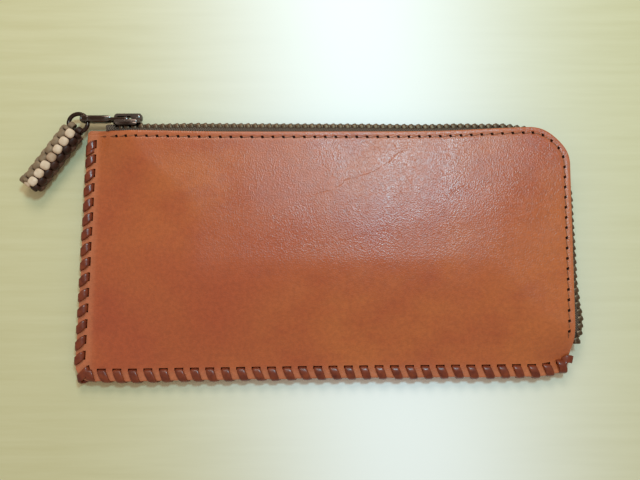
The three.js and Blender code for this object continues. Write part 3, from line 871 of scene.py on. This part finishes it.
def lace_stitch(slot, following, jitter):
    """The points of one turn of the lace and the way that its width runs at each."""
    place, out, reach = slot
    forward = forward_of(out)
    next_place, next_out, _ = following
    turned = forward_of(next_out)
    lean = (LACE_LEAN_LEFT if out.x < -0.9 else LACE_LEAN) + jitter

    def at(outward, ahead, z):
        return place + out * outward + forward * ahead + up_by(z)

    def under(outward, z):
        return next_place + next_out * outward + up_by(z)

    points = [
        at(0.0, 0.0, LACE_TURN),
        at(0.15, 0.05, LACE_OVER - 0.35),
        at(0.9, lean * 0.2, LACE_OVER + 0.2),
        at(reach * 0.6, lean * 0.6, LACE_OVER + 0.25),
        at(reach - 0.25, lean * 0.9, LACE_OVER - 0.15),
        at(reach + 0.28, lean * 1.05, LACE_TURN),
        at(reach - 0.2, lean * 1.25, BACK_LACE - 0.02),
        lerp(at(reach * 0.5, lean * 1.5, 0), under(reach * 0.35, 0), 0.5) + up_by(BACK_LACE - 0.37),
        under(0.5, BACK_LACE - 0.27),
        under(0.1, BACK_LACE + 0.3),
    ]
    widths = [forward] * 6 + [lerp(forward, turned, 0.3), lerp(forward, turned, 0.6), turned, turned]
    return points, widths


def make_lace():
    random.seed(SEED)
    slots = lace_slots()
    shape = Shape()
    points, widths = [], []
    for slot, following in zip(slots, slots[1:]):
        more, ways = lace_stitch(slot, following, random.uniform(-STITCH_JITTER, STITCH_JITTER))
        points += more
        widths += ways
    # The last stitch arches over the corner.
    arch = [
        (-0.6, -0.3, LACE_TURN),
        (-0.5, -0.2, LACE_OVER - 0.1),
        (0.4, 0.1, LACE_OVER + 0.75),
        (1.9, 0.7, LACE_OVER + 0.9),
        (3.6, 1.1, LACE_OVER + 0.2),
        (4.2, 1.3, LACE_TURN),
        (3.6, 1.4, BACK_LACE - 0.2),
        (1.8, 1.4, BACK_LACE - 0.4),
    ]
    points += places_from(slots[-1], arch)
    widths += [forward_of(slots[-1][1])] * len(arch)
    steps = 4
    line = curve_through([warped(p) for p in points], steps)

    def across(i):
        a, b = widths[i // steps], widths[min(i // steps + 1, len(widths) - 1)]
        return lerp(a, b, (i % steps) / steps).normalized()

    sweep(shape, line, across, soft_rectangle(LACE_WIDTH, 1.05, 16, 0.55))
    add_lace_start(shape, slots[0])
    add_lace_end(shape, slots[-1])
    lace = shape.build("whip_lace", [LACE], sharp=60)
    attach(lace, "wallet")
    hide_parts("edge_lace")


def add_lace_start(shape, slot):
    """The lace's start goes once round the edge below the first slot."""
    _, out, reach = slot
    wrap = [
        (0.5, 2.2, LACE_OVER - 0.2),
        (1.4, 2.6, LACE_OVER + 0.15),
        (reach - 0.25, 3.6, LACE_OVER - 0.1),
        (reach + 0.25, 4.1, LACE_TURN),
        (reach - 0.2, 4.5, BACK_LACE),
        (1.2, 4.6, BACK_LACE - 0.3),
    ]
    line = curve_through([warped(p) for p in places_from(slot, wrap)], 5)
    sweep(shape, line, lambda i: forward_of(out), soft_rectangle(2.5, 0.9, 14, 0.4))


def add_lace_end(shape, slot):
    """The cut end, a short tab beside the last stitch."""
    tab = [
        (1.2, 0.6, 2.6),
        (0.2, 0.9, LACE_OVER),
        (-0.7, 1.9, LACE_OVER + 0.7),
        (-0.9, 3.3, LACE_OVER + 0.8),
        (-0.6, 4.5, LACE_OVER + 0.3),
    ]
    line = curve_through([warped(p) for p in places_from(slot, tab)], 5)
    sweep(shape, line, lambda i: Vector((0.2, 0.98, 0)), soft_rectangle(2.9, 0.8, 14, 0.3))


def slot_cutters():
    """Slots through the leather. The corner's second turn has no slot of its own."""
    cutters = Shape()
    for i, (place, out, _) in enumerate(lace_slots()):
        if i == LEFT_STITCHES + 1:
            continue
        ahead = forward_of(out)
        corners = []
        for z in (-2, 8):
            for a, b in ((-1, -1), (1, -1), (1, 1), (-1, 1)):
                corner = place + out * (0.55 * a - 0.15) + ahead * (1.68 * b)
                corners.append(warped(corner) + up_by(z))
        faces = [(3, 2, 1, 0), (4, 5, 6, 7), (0, 1, 5, 4), (1, 2, 6, 5), (2, 3, 7, 6), (3, 0, 4, 7)]
        # Look 1 gives the slot's walls the hollow's painted shade.
        cutters.add(corners, faces, 1)
    return cutters


# ---- Zip: path, stitches, teeth and tape ----


def zip_edge(s):
    """The leather's zipped edge at a distance along it: its place and outward direction."""
    if s <= STRAIGHT:
        return Vector((LEFT + s, top_edge(LEFT + s), 0)), Vector((0, 1, 0))
    if s < STRAIGHT + ARC:
        angle = (s - STRAIGHT) / CORNER_ZIP
        out = Vector((math.sin(angle), math.cos(angle), 0))
        return Vector((RIGHT - CORNER_ZIP, TOP - CORNER_ZIP, 0)) + out * CORNER_ZIP, out
    return Vector((RIGHT, TOP - CORNER_ZIP - (s - STRAIGHT - ARC), 0)), Vector((1, 0, 0))


def by_the_edge(s, out, z):
    edge, outward = zip_edge(s)
    x, y = warp(edge.x, edge.y)
    return Vector((x, y, z)) + outward * out


def zip_heading(s):
    _, out = zip_edge(s)
    return Vector((out.y, -out.x, 0))


def equal_steps(start, end, inset, pitch):
    """Distances along the edge whose points, inset from it, are pitch apart."""
    places = []
    s = start
    while s <= end:
        places.append(s)
        in_arc = STRAIGHT < s + pitch / 2 < STRAIGHT + ARC
        s += pitch * (CORNER_ZIP / (CORNER_ZIP - inset) if in_arc else 1)
    return places


STITCHES = equal_steps(4.2, PATH_END + 3, STITCH_INSET, STITCH_PITCH)


def hole_at(s):
    """A stitch hole's place on the front, and the directions along the seam and outwards."""
    edge, out = zip_edge(s)
    inside = edge - out * STITCH_INSET
    return warped(Vector((inside.x, inside.y, front_face(inside.x, inside.y)))), zip_heading(s), out


def hole_cutters():
    """Diamond holes, sloping to a point, for the boolean."""
    cutters = Shape()
    for s in STITCHES[2:-1]:
        place, ahead, out = hole_at(s)
        slant = (ahead * 0.86 - out * 0.5).normalized()
        cross = Vector((-slant.y, slant.x, 0))
        rim = []
        for z, grow in ((0.4, 1.2), (-1.3, 0.5)):
            for a, b in ((-0.85, 0), (0, -0.62), (0.85, 0), (0, 0.62)):
                rim.append(place + slant * a * grow + cross * b * grow + up_by(z))
        faces = [(0, 1, 2, 3), (7, 6, 5, 4), (1, 0, 4, 5), (2, 1, 5, 6), (3, 2, 6, 7), (0, 3, 7, 4)]
        # Look 1 gives the hole's walls the hollow's painted shade.
        cutters.add(rim, faces, 1)
    return cutters


def make_stitching():
    """Saddle stitches: each thread dives into its two holes and lies at a slight slant."""
    shape = Shape()
    section = [(a * 1.1, b * 0.9) for a, b in round_wire(THREAD_RADIUS, 8)]
    for s, following in zip(STITCHES, STITCHES[1:]):
        a, ahead, out = hole_at(s)
        b, _, out_b = hole_at(following)
        middle = hole_at((s + following) / 2)[0]
        a, b = a - out * 0.22, b + out_b * 0.1
        points = [a + ahead * 0.5 - up_by(0.7), a + ahead * 0.85 - up_by(0.03)]
        points += [middle - out * 0.06 + up_by(0.07)]
        points += [b - ahead * 0.85 - up_by(0.05), b - ahead * 0.5 - up_by(0.7)]
        sweep(shape, curve_through(points, 3), lambda i: out, section)
    stitching = shape.build("saddle_stitching", [THREAD], sharp=80)
    bend_with_front(stitching)
    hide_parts("front_stitching")


def bend_with_front(piece):
    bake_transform(piece)


def chain_out(s):
    """How far the middle of the chain stands out past the leather: it wavers along the zip."""
    stops = [(0, 1.8), (24, 2.35), (45, 3.0), (100, 2.85), (140, 2.4), (158, 1.6), (STRAIGHT + 3, -0.3)]
    stops += [(PATH_END - 63, -0.3), (PATH_END - 54, 0.6), (PATH_END - 23, 1.3), (PATH_END - 14, 2.1)]
    stops += [(PATH_END - 7, 3.1), (PATH_END - 3, 2.9), (PATH_END + 2, 1.3), (PATH_END + 6, -0.8)]
    for (s0, out0), (s1, out1) in zip(stops, stops[1:]):
        if s <= s1:
            return lerp(out0, out1, smooth((s - s0) / (s1 - s0)))
    return stops[-1][1]


def make_teeth(side, name):
    """One row of teeth. side is 1 for the front row and -1 for the back row."""
    shape = Shape()
    s = ZIP_START + (TOOTH_PITCH / 2 if side < 0 else 0)
    while s < PATH_END + 1.4:
        middle = by_the_edge(s + 0.6, chain_out(s), CHAIN_LEVEL)
        ahead = zip_heading(s + 0.6)
        _, out = zip_edge(s + 0.6)
        up = up_by(side)
        slant = (ahead + out * 0.35).normalized()
        aside = slant.cross(up * side).normalized() * -1
        axes = (slant, aside, slant.cross(aside))
        soft_block(shape, middle + up * 1.3, axes, (2.2, 2.5, 1.8), 0.45, 8, 16)
        soft_block(shape, middle + up * 0.15 + out * 0.05, axes, (1.5, 2.7, 1.6), 0.45, 6, 12)
        s += TOOTH_PITCH
    return shape.build(name, [TOOTH], sharp=70)


def tape_line(side, s):
    """The tape's section at s, from under the leather out to the teeth, as points."""
    face = front_face if side > 0 else back_face
    edge, outward = zip_edge(s)
    rim, inner = edge - outward * 0.5, edge - outward * 6.5
    leather = face(rim.x, rim.y) - side * (LEATHER + 0.25)
    chain = chain_out(s)
    reach = max(0.0, chain)
    level = CHAIN_LEVEL + side * 1.45
    hidden = (leather - side * 0.35, face(inner.x, inner.y) - side * (LEATHER + 0.5))
    section = [
        (-6.5, min(hidden) if side > 0 else max(hidden)),
        (-3, leather),
        (min(-0.8, chain - 1.6), leather),
        (reach * 0.25, lerp(leather, level, 0.3)),
        (chain - 1.0, lerp(leather, level, 0.75)),
        (chain - 0.4, level),
    ]
    return [by_the_edge(s, out, z) for out, z in section]


def make_tape(side, name):
    """A woven strip with a beaded edge under the teeth."""
    stations = np.arange(TAPE_START, PATH_END + 1.8, 0.8)
    lines = [curve_through(tape_line(side, s), 4) for s in stations]
    count = len(lines[0])
    points, faces, weave = [], [], []
    for layer in (1, -1):
        for s, line in zip(stations, lines):
            heading = zip_heading(s)
            for j, p in enumerate(line):
                along = (line[min(j + 1, count - 1)] - line[max(j - 1, 0)]).normalized()
                normal = heading.cross(along).normalized() * -side
                points.append(p + normal * TAPE_HALF * layer)
                weave.append((s, j * 0.45))
    size = len(lines) * count
    for i in range(len(lines) - 1):
        for j in range(count - 1):
            a, b = i * count + j, (i + 1) * count + j
            faces.append((a, b, b + 1, a + 1))
            faces.append((size + a + 1, size + b + 1, size + b, size + a))
        for j in (0, count - 1):
            a, b = i * count + j, (i + 1) * count + j
            side_face = (a, size + a, size + b, b)
            faces.append(side_face if j == 0 else tuple(reversed(side_face)))
    for i in (0, len(lines) - 1):
        for j in range(count - 1):
            a, b = i * count + j, i * count + j + 1
            end_face = (a, b, size + b, size + a)
            faces.append(end_face if i == 0 else tuple(reversed(end_face)))
    if side < 0:
        faces = [tuple(reversed(f)) for f in faces]
    shape = Shape()
    shape.add(points, faces)
    if side < 0:
        # The end of the tape, folded over into a lump in front of the slider.
        s = TAPE_START + 2.0
        axes = (zip_heading(s), zip_edge(s)[1], UPWARD)
        soft_block(shape, by_the_edge(s, 1.3, CHAIN_LEVEL - 0.2), axes, (4.6, 2.9, 4.0), 0.55, 10, 20)
    tape = shape.build(name, [TAPE])
    uv = tape.data.uv_layers.new(name="weave")
    for loop in tape.data.loops:
        if loop.vertex_index < len(weave):
            uv.data[loop.index].uv = weave[loop.vertex_index]
        else:
            place = tape.data.vertices[loop.vertex_index].co / MM
            uv.data[loop.index].uv = (place.x, place.y)
    return tape


def make_zip():
    front_teeth = make_teeth(1, "front_zip_teeth")
    back_teeth = make_teeth(-1, "back_zip_teeth")
    front_tape = make_tape(1, "front_zip_tape")
    back_tape = make_tape(-1, "back_zip_tape")
    for piece, node_name, slot in (
        (front_teeth, "front_teeth", "tooth_metal"),
        (front_tape, "front_tape", "zip_tape"),
    ):
        bend_with_front(piece)
        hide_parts(node_name)
    for piece, node_name, slot in (
        (back_teeth, "back_teeth", "tooth_metal"),
        (back_tape, "back_tape", "zip_tape"),
    ):
        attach(piece, "wallet")
        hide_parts(node_name)


def make_stops():
    """The clamped stops: one at the head of each row of teeth, and one round both at the foot."""
    for name, s, z, size in (
        ("top_stop_front", ZIP_START - 1.6, 1.4, (1.5, 2.6, 1.7)),
        ("top_stop_back", ZIP_START - 1.6, -1.4, (1.5, 2.6, 1.7)),
        ("bottom_stop", PATH_END + 2.4, 0.0, (1.7, 2.8, 4.4)),
    ):
        shape = Shape()
        axes = (zip_heading(s), zip_edge(s)[1], UPWARD)
        if name == "bottom_stop":
            centre = by_the_edge(s, chain_out(s) + 0.5, CHAIN_LEVEL)
        else:
            centre = by_the_edge(s, chain_out(s), CHAIN_LEVEL + z)
        soft_block(shape, centre, axes, size, 0.3, 10, 20)
        stop = shape.build(name + "_clamp", [TOOTH], sharp=60)
        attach(stop, "wallet")
        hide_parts(name)


# ---- Inside: card pockets on the right and a coin pocket on the left ----


def make_sheet(name, x0, x1, top, layer):
    """One lining sheet with rounded corners, a turned rim, and a seam along its top edge."""
    shape = Shape()
    middle = up_by(POCKET_FLOOR + layer * LAYER + LINING_THICK / 2)
    outline = rounded_outline(x0, POCKET_LOW, x1, top, 2, 8)
    bevelled_plate(shape, outline, LINING_THICK, middle, ALONG, OUTWARD, UPWARD, 0.12)
    x = x0 + 3
    while x < x1 - 3:
        centre = Vector((x, top - 1.6, middle.z + LINING_THICK / 2 - 0.02))
        soft_block(shape, centre, (ALONG, OUTWARD, UPWARD), (2.3, 0.42, 0.2), 0.6, 4, 8, 1)
        x += 3.1
    sheet = shape.build(name + "_sheet", [LINING, THREAD], sharp=50)
    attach(sheet, "wallet")
    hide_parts(name)


def make_pockets():
    make_sheet("pocket_backing", POCKET_LEFT, POCKET_RIGHT, 32, 0)
    for i, top in enumerate((28, 16, 4)):
        make_sheet(f"card_pocket_{i + 1}", -14, POCKET_RIGHT, top, i + 1)
    make_sheet("coin_pocket", POCKET_LEFT, -18, 22, 3)
    # The strip that sets the coin pocket's face off its back, folded round three sides.
    shape = Shape()
    z = POCKET_FLOOR + LAYER + 0.6
    for x in (POCKET_LEFT + 2, -20):
        soft_block(shape, Vector((x, -2, z)), (OUTWARD, ALONG, UPWARD), (43.5, 3.9, 1.16), 0.15, 8, 24)
    low = Vector((-43, POCKET_LOW + 2.1, z))
    soft_block(shape, low, (ALONG, OUTWARD, UPWARD), (44.5, 3.9, 1.16), 0.15, 8, 24)
    gusset = shape.build("coin_gusset_strip", [LINING], sharp=60)
    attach(gusset, "wallet")
    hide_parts("coin_gusset")


# ---- Slider, pull and ring ----


def by_the_slider(x, out, z=0.0):
    return Vector((LEFT + x, TOP + out, CHAIN_LEVEL + z))


def bevelled_plate(shape, outline, depth, centre, across, up, normal, bevel):
    """A flat plate with a rounded rim. outline is a closed list of (across, up) points."""
    flat = depth / 2 - bevel
    rings = []
    cut_back = 0.35 * bevel
    for level, inset in ((-depth / 2, cut_back), (-flat, 0.0), (flat, 0.0), (depth / 2, cut_back)):
        ring = []
        for (a, b), (na, nb) in zip(outline, outline_normals(outline)):
            ring.append(centre + across * (a - na * inset) + up * (b - nb * inset) + normal * level)
        rings.append(ring)
    rings_to_shape(shape, rings)


def outline_normals(outline):
    count = len(outline)
    normals = []
    for i in range(count):
        (x0, y0), (x1, y1) = outline[i - 1], outline[(i + 1) % count]
        length = math.hypot(x1 - x0, y1 - y0) or 1
        normals.append(((y1 - y0) / length, -(x1 - x0) / length))
    return normals


def rounded_outline(x0, y0, x1, y1, radius, steps=6):
    outline = []
    for cx, cy, start in (
        (x1 - radius, y0 + radius, -90),
        (x1 - radius, y1 - radius, 0),
        (x0 + radius, y1 - radius, 90),
        (x0 + radius, y0 + radius, 180),
    ):
        for i in range(steps + 1):
            angle = math.radians(start + 90 * i / steps)
            outline.append((cx + radius * math.cos(angle), cy + radius * math.sin(angle)))
    return outline


def make_slider():
    shape = Shape()
    centre = by_the_slider(0, 0)
    # Outer plate with turned-down flanges.
    plate = rounded_outline(10.5, -3.8, 21.3, 3.8, 2.0)
    bevelled_plate(shape, plate, 1.15, centre + OUTWARD * 3.92, ALONG, UPWARD, -OUTWARD, 0.3)
    for z in (-3.45, 3.45):
        soft_block(shape, by_the_slider(15.9, 3.1, z), (ALONG, UPWARD, -OUTWARD), (8.2, 0.7, 1.3), 0.3)
    # Inner plate and the post between the rows.
    inner = rounded_outline(10.9, -2.5, 20.9, 2.5, 1.4)
    bevelled_plate(shape, inner, 1.1, centre + OUTWARD * -0.35, ALONG, UPWARD, -OUTWARD, 0.3)
    soft_block(shape, by_the_slider(11.8, 1.8), (ALONG, UPWARD, -OUTWARD), (1.9, 1.1, 4.2), 0.4)
    body = shape.build("slider_plates", [NICKEL], sharp=50)
    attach(body, "slider")
    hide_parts("slider_body")


def make_bridge():
    """The arch over the slider: a rim round the window that the pull turns in."""
    shape = Shape()
    outer = rounded_outline(10.45, 4.45, 21.4, 7.75, 1.3)
    half = 1.15
    window = [(12.0, 5.0), (16.8, 5.0), (17.4, 5.7), (16.8, 6.4), (12.0, 6.4), (11.6, 5.8)]
    rings = []
    # Outside, then over the rim and through the window, as one closed loop of rings.
    inner = resample(window, len(outer))
    for points, z, grow in (
        (outer, -half + 0.3, 0.0),
        (outer, half - 0.3, 0.0),
        (outer, half, -0.3),
        (inner, half, 0.22),
        (inner, half - 0.25, 0.0),
        (inner, -half + 0.25, 0.0),
        (inner, -half, 0.22),
        (outer, -half, -0.3),
    ):
        ring = []
        for (x, y), (nx, ny) in zip(points, outline_normals(points)):
            ring.append(by_the_slider(x + nx * grow, y + ny * grow, z))
        rings.append(ring)
    rings_to_shape(shape, rings, closed=True)
    # A small screw-like rivet at the closed end.
    soft_block(shape, by_the_slider(19.9, 6.3, 1.15), (ALONG, OUTWARD, UPWARD), (1.5, 1.5, 0.5), 0.6)
    bridge = shape.build("slider_arch", [NICKEL], sharp=45)
    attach(bridge, "slider")
    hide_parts("slider_bridge")


def resample(outline, count):
    """Points spread evenly over a closed outline, starting where rounded_outline does."""
    closed = outline + outline[:1]
    lengths = [math.dist(a, b) for a, b in zip(closed, closed[1:])]
    total = sum(lengths)
    points = []
    for i in range(count):
        target = total * ((i / count + 0.16) % 1.0)
        for a, b, length in zip(closed, closed[1:], lengths):
            if target <= length:
                points.append((lerp(a[0], b[0], target / length), lerp(a[1], b[1], target / length)))
                break
            target -= length
    return points


def make_pull():
    """A flat strip seen on its edge, with a pin in the window, two ears and an eye for the ring."""
    shape = Shape()

    def at(x, z=0.0, out=0.0):
        return by_the_slider(x, PIVOT_OUT + out, z)

    def bar(x0, x1, z0, z1, thickness=PULL_THICK, squareness=0.3, out=0.0):
        centre = at((x0 + x1) / 2, (z0 + z1) / 2, out)
        size = (x1 - x0, thickness, z1 - z0)
        soft_block(shape, centre, (ALONG, OUTWARD, UPWARD), size, squareness, 10, 20)

    bar(-1.2, 9.4, -PULL_HALF, PULL_HALF)
    for side in (-1, 1):
        low, high = sorted((side * 1.3, side * 2.45))
        # The ear in front is thinner and set in, so that a dark slit shows beside it.
        thinner, out = (1.4, -0.35) if side > 0 else (0.9, 0.0)
        bar(7.9, PIVOT_X + 1.2, low, high, PULL_THICK - thinner, out=out)
        low, high = sorted((side * 1.05, side * PULL_HALF))
        bar(PULL_TIP_X + 1.6, 1.0, low, high, PULL_THICK - 0.1, 0.45)
    bar(PULL_TIP_X + 1.4, PULL_TIP_X + 2.6, -PULL_HALF, PULL_HALF, PULL_THICK - 0.2, 0.6)
    pin = [at(PIVOT_X, -2.1), at(PIVOT_X, 0), at(PIVOT_X, 2.1)]
    sweep(shape, pin, lambda i: ALONG, round_wire(0.5, 12))
    pull = shape.build("pull_strip", [NICKEL], sharp=60)
    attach(pull, "pull")
    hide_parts("pull_tab")


def make_ring():
    """A round wire ring with the fine gap of its joint."""
    shape = Shape()
    centre = by_the_slider(RING_X, RING_OUT)
    rings = []
    count = 72
    for i in range(count + 1):
        angle = math.radians(70) + RING_GAP + (2 * math.pi - 2 * RING_GAP) * i / count
        out = Vector((math.cos(angle), math.sin(angle), 0))
        wire = round_wire(RING_WIRE, 14)
        rings.append([centre + out * (RING_RADIUS + away) + UPWARD * lift for away, lift in wire])
    rings_to_shape(shape, rings)
    ring = shape.build("ring_wire", [NICKEL], sharp=60)
    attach(ring, "ring")
    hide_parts("jump_ring")


# ---- The braided charm ----


def make_charm():
    """A braid of leather laces: columns of cushions, each half a step off its neighbours."""
    random.seed(SEED + 1)
    shape = Shape()
    down = Vector((math.cos(CHARM_ANGLE), math.sin(CHARM_ANGLE), 0))
    level = Vector((-down.y, down.x, 0))
    start = by_the_slider(RING_X, RING_OUT) + down * (RING_RADIUS - 1.5) + level * 0.5
    length = CHARM_TIERS * CHARM_TIER
    for k, look in enumerate((3, 2, 1, 0, 0, 1, 2, 3)):
        angle = CHARM_ROLL + k * math.pi / 4
        normal = level * math.cos(angle) + UPWARD * math.sin(angle)
        across = normal.cross(down)
        stagger = 0.5 * (k % 2)
        for t in range(CHARM_TIERS + k % 2):
            low = max(0.0, CHARM_TIER * (t - stagger))
            high = min(length, CHARM_TIER * (t + 1 - stagger))
            centre = start + down * (CHARM_NECK + (low + high) / 2) + normal * (CHARM_RADIUS - 1.2)
            tilt = math.radians(random.uniform(-5, 5) + (6 if k % 2 else -6))
            a = across * math.cos(tilt) + down * math.sin(tilt)
            b = down * math.cos(tilt) - across * math.sin(tilt)
            size = (3.5 + random.uniform(-0.15, 0.15), high - low - 0.3, 2.5)
            colour = 4 if (k, t) == DARKER_CUSHION else look
            soft_block(shape, centre, (a, b, normal), size, 0.68, 10, 20, colour)
    add_charm_core(shape, start, down, level)
    add_charm_loops(shape, start, down, level)
    charm = shape.build("leather_braid", BRAID, sharp=70)
    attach(charm, "charm")
    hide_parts("braided_charm")


def add_charm_core(shape, start, down, level):
    """What shows between the cushions."""
    length = CHARM_TIERS * CHARM_TIER - 1.0
    centre = start + down * (CHARM_NECK + 0.5 + length / 2)
    size = (2 * CHARM_RADIUS - 3.0, 2 * CHARM_RADIUS - 3.0, length)
    soft_block(shape, centre, (level, UPWARD, down), size, 0.5, 10, 24, 2)


def add_charm_loops(shape, start, down, level):
    """Two laces over the ring's wire, and the cut ends tucked in at the far end."""
    for shift, look in ((-1.7, 0), (1.9, 2)):
        loop = []
        for i in range(9):
            angle = math.radians(-140 + 280 * i / 8)
            aside = level * shift + down * (0.2 - 1.3 * math.cos(angle))
            loop.append(start + aside + UPWARD * 1.4 * math.sin(angle))
        line = curve_through([loop[0] + down * 1.9] + loop + [loop[-1] + down * 1.9], 3)
        sweep(shape, line, lambda i: level, soft_rectangle(2.3, 0.7), look)
    far = start + down * (CHARM_NECK + CHARM_TIERS * CHARM_TIER)
    for shift, lift, look in ((-2.9, 1.6, 0), (-0.2, 2.4, 1), (2.2, 1.2, 2), (0.3, -1.9, 3)):
        middle = far + level * shift + UPWARD * lift
        curl = ((-1.6, 1.0), (-0.3, 1.15), (0.45, 0.5), (0.35, -0.4), (-0.8, -0.8))
        loop = [middle + down * d + UPWARD * u for d, u in curl]
        sweep(shape, curve_through(loop, 4), lambda i: level, soft_rectangle(2.5, 0.75), look)


# ---- Stage ----


def make_floor_plane():
    shape = Shape()
    half = 900
    corners = ((-half, -half), (half, -half), (half, half), (-half, half))
    shape.add([(x, y, -0.02) for x, y in corners], [(0, 1, 2, 3)])
    floor = shape.build("floor", [make_floor()])


def make_light(name, place, target, size, power, color):
    light = bpy.data.lights.new(name, "AREA")
    light.shape = "DISK"
    light.size = size * MM
    light.energy = power
    light.color = color
    obj = bpy.data.objects.new(name, light)
    obj.location = Vector(place) * MM
    obj.rotation_euler = (Vector(target) - Vector(place)).to_track_quat("-Z", "Y").to_euler()
    bpy.context.scene.collection.objects.link(obj)


def make_camera():
    camera = bpy.data.cameras.new("camera")
    camera.sensor_fit = "HORIZONTAL"
    camera.angle = math.radians(50)
    camera.clip_start = 0.01
    obj = bpy.data.objects.new("camera", camera)
    obj.location = Vector((-6.5, -26.2, 267.7)) * MM
    obj.rotation_euler = (math.radians(6.94), math.radians(-0.90), math.radians(-0.29))
    bpy.context.scene.collection.objects.link(obj)
    bpy.context.scene.camera = obj


def light_scene():
    world = bpy.data.worlds.new("soft_room")
    world.use_nodes = True
    world.node_tree.nodes["Background"].inputs["Color"].default_value = (1.0, 0.92, 0.78, 1)
    world.node_tree.nodes["Background"].inputs["Strength"].default_value = ROOM_LIGHT
    bpy.context.scene.world = world
    bpy.context.scene.view_settings.view_transform = "Standard"
    make_light("window", (92, 190, 510), (20, 20, 10), 90, WINDOW_POWER, (0.42, 0.84, 1.0))
    make_light("fill", (-60, 430, 470), (0, 0, 0), 260, FILL_POWER, (1.0, 0.93, 0.82))


def make_panels():
    front = build_panel("front_leather", front_face, 1)
    cut(front, slot_cutters())
    cut(front, hole_cutters())
    paint_panel(front)
    bend_with_front(front)
    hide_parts("front_panel", "front_panel_corner")
    back = build_panel("back_leather", back_face, -1)
    cut(back, slot_cutters())
    paint_panel(back)
    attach(back, "wallet")
    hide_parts("back_panel")


make_camera()
light_scene()
make_floor_plane()
make_panels()
make_lace()
make_stitching()
make_zip()
make_stops()
make_pockets()
make_slider()
make_bridge()
make_pull()
make_ring()
make_charm()
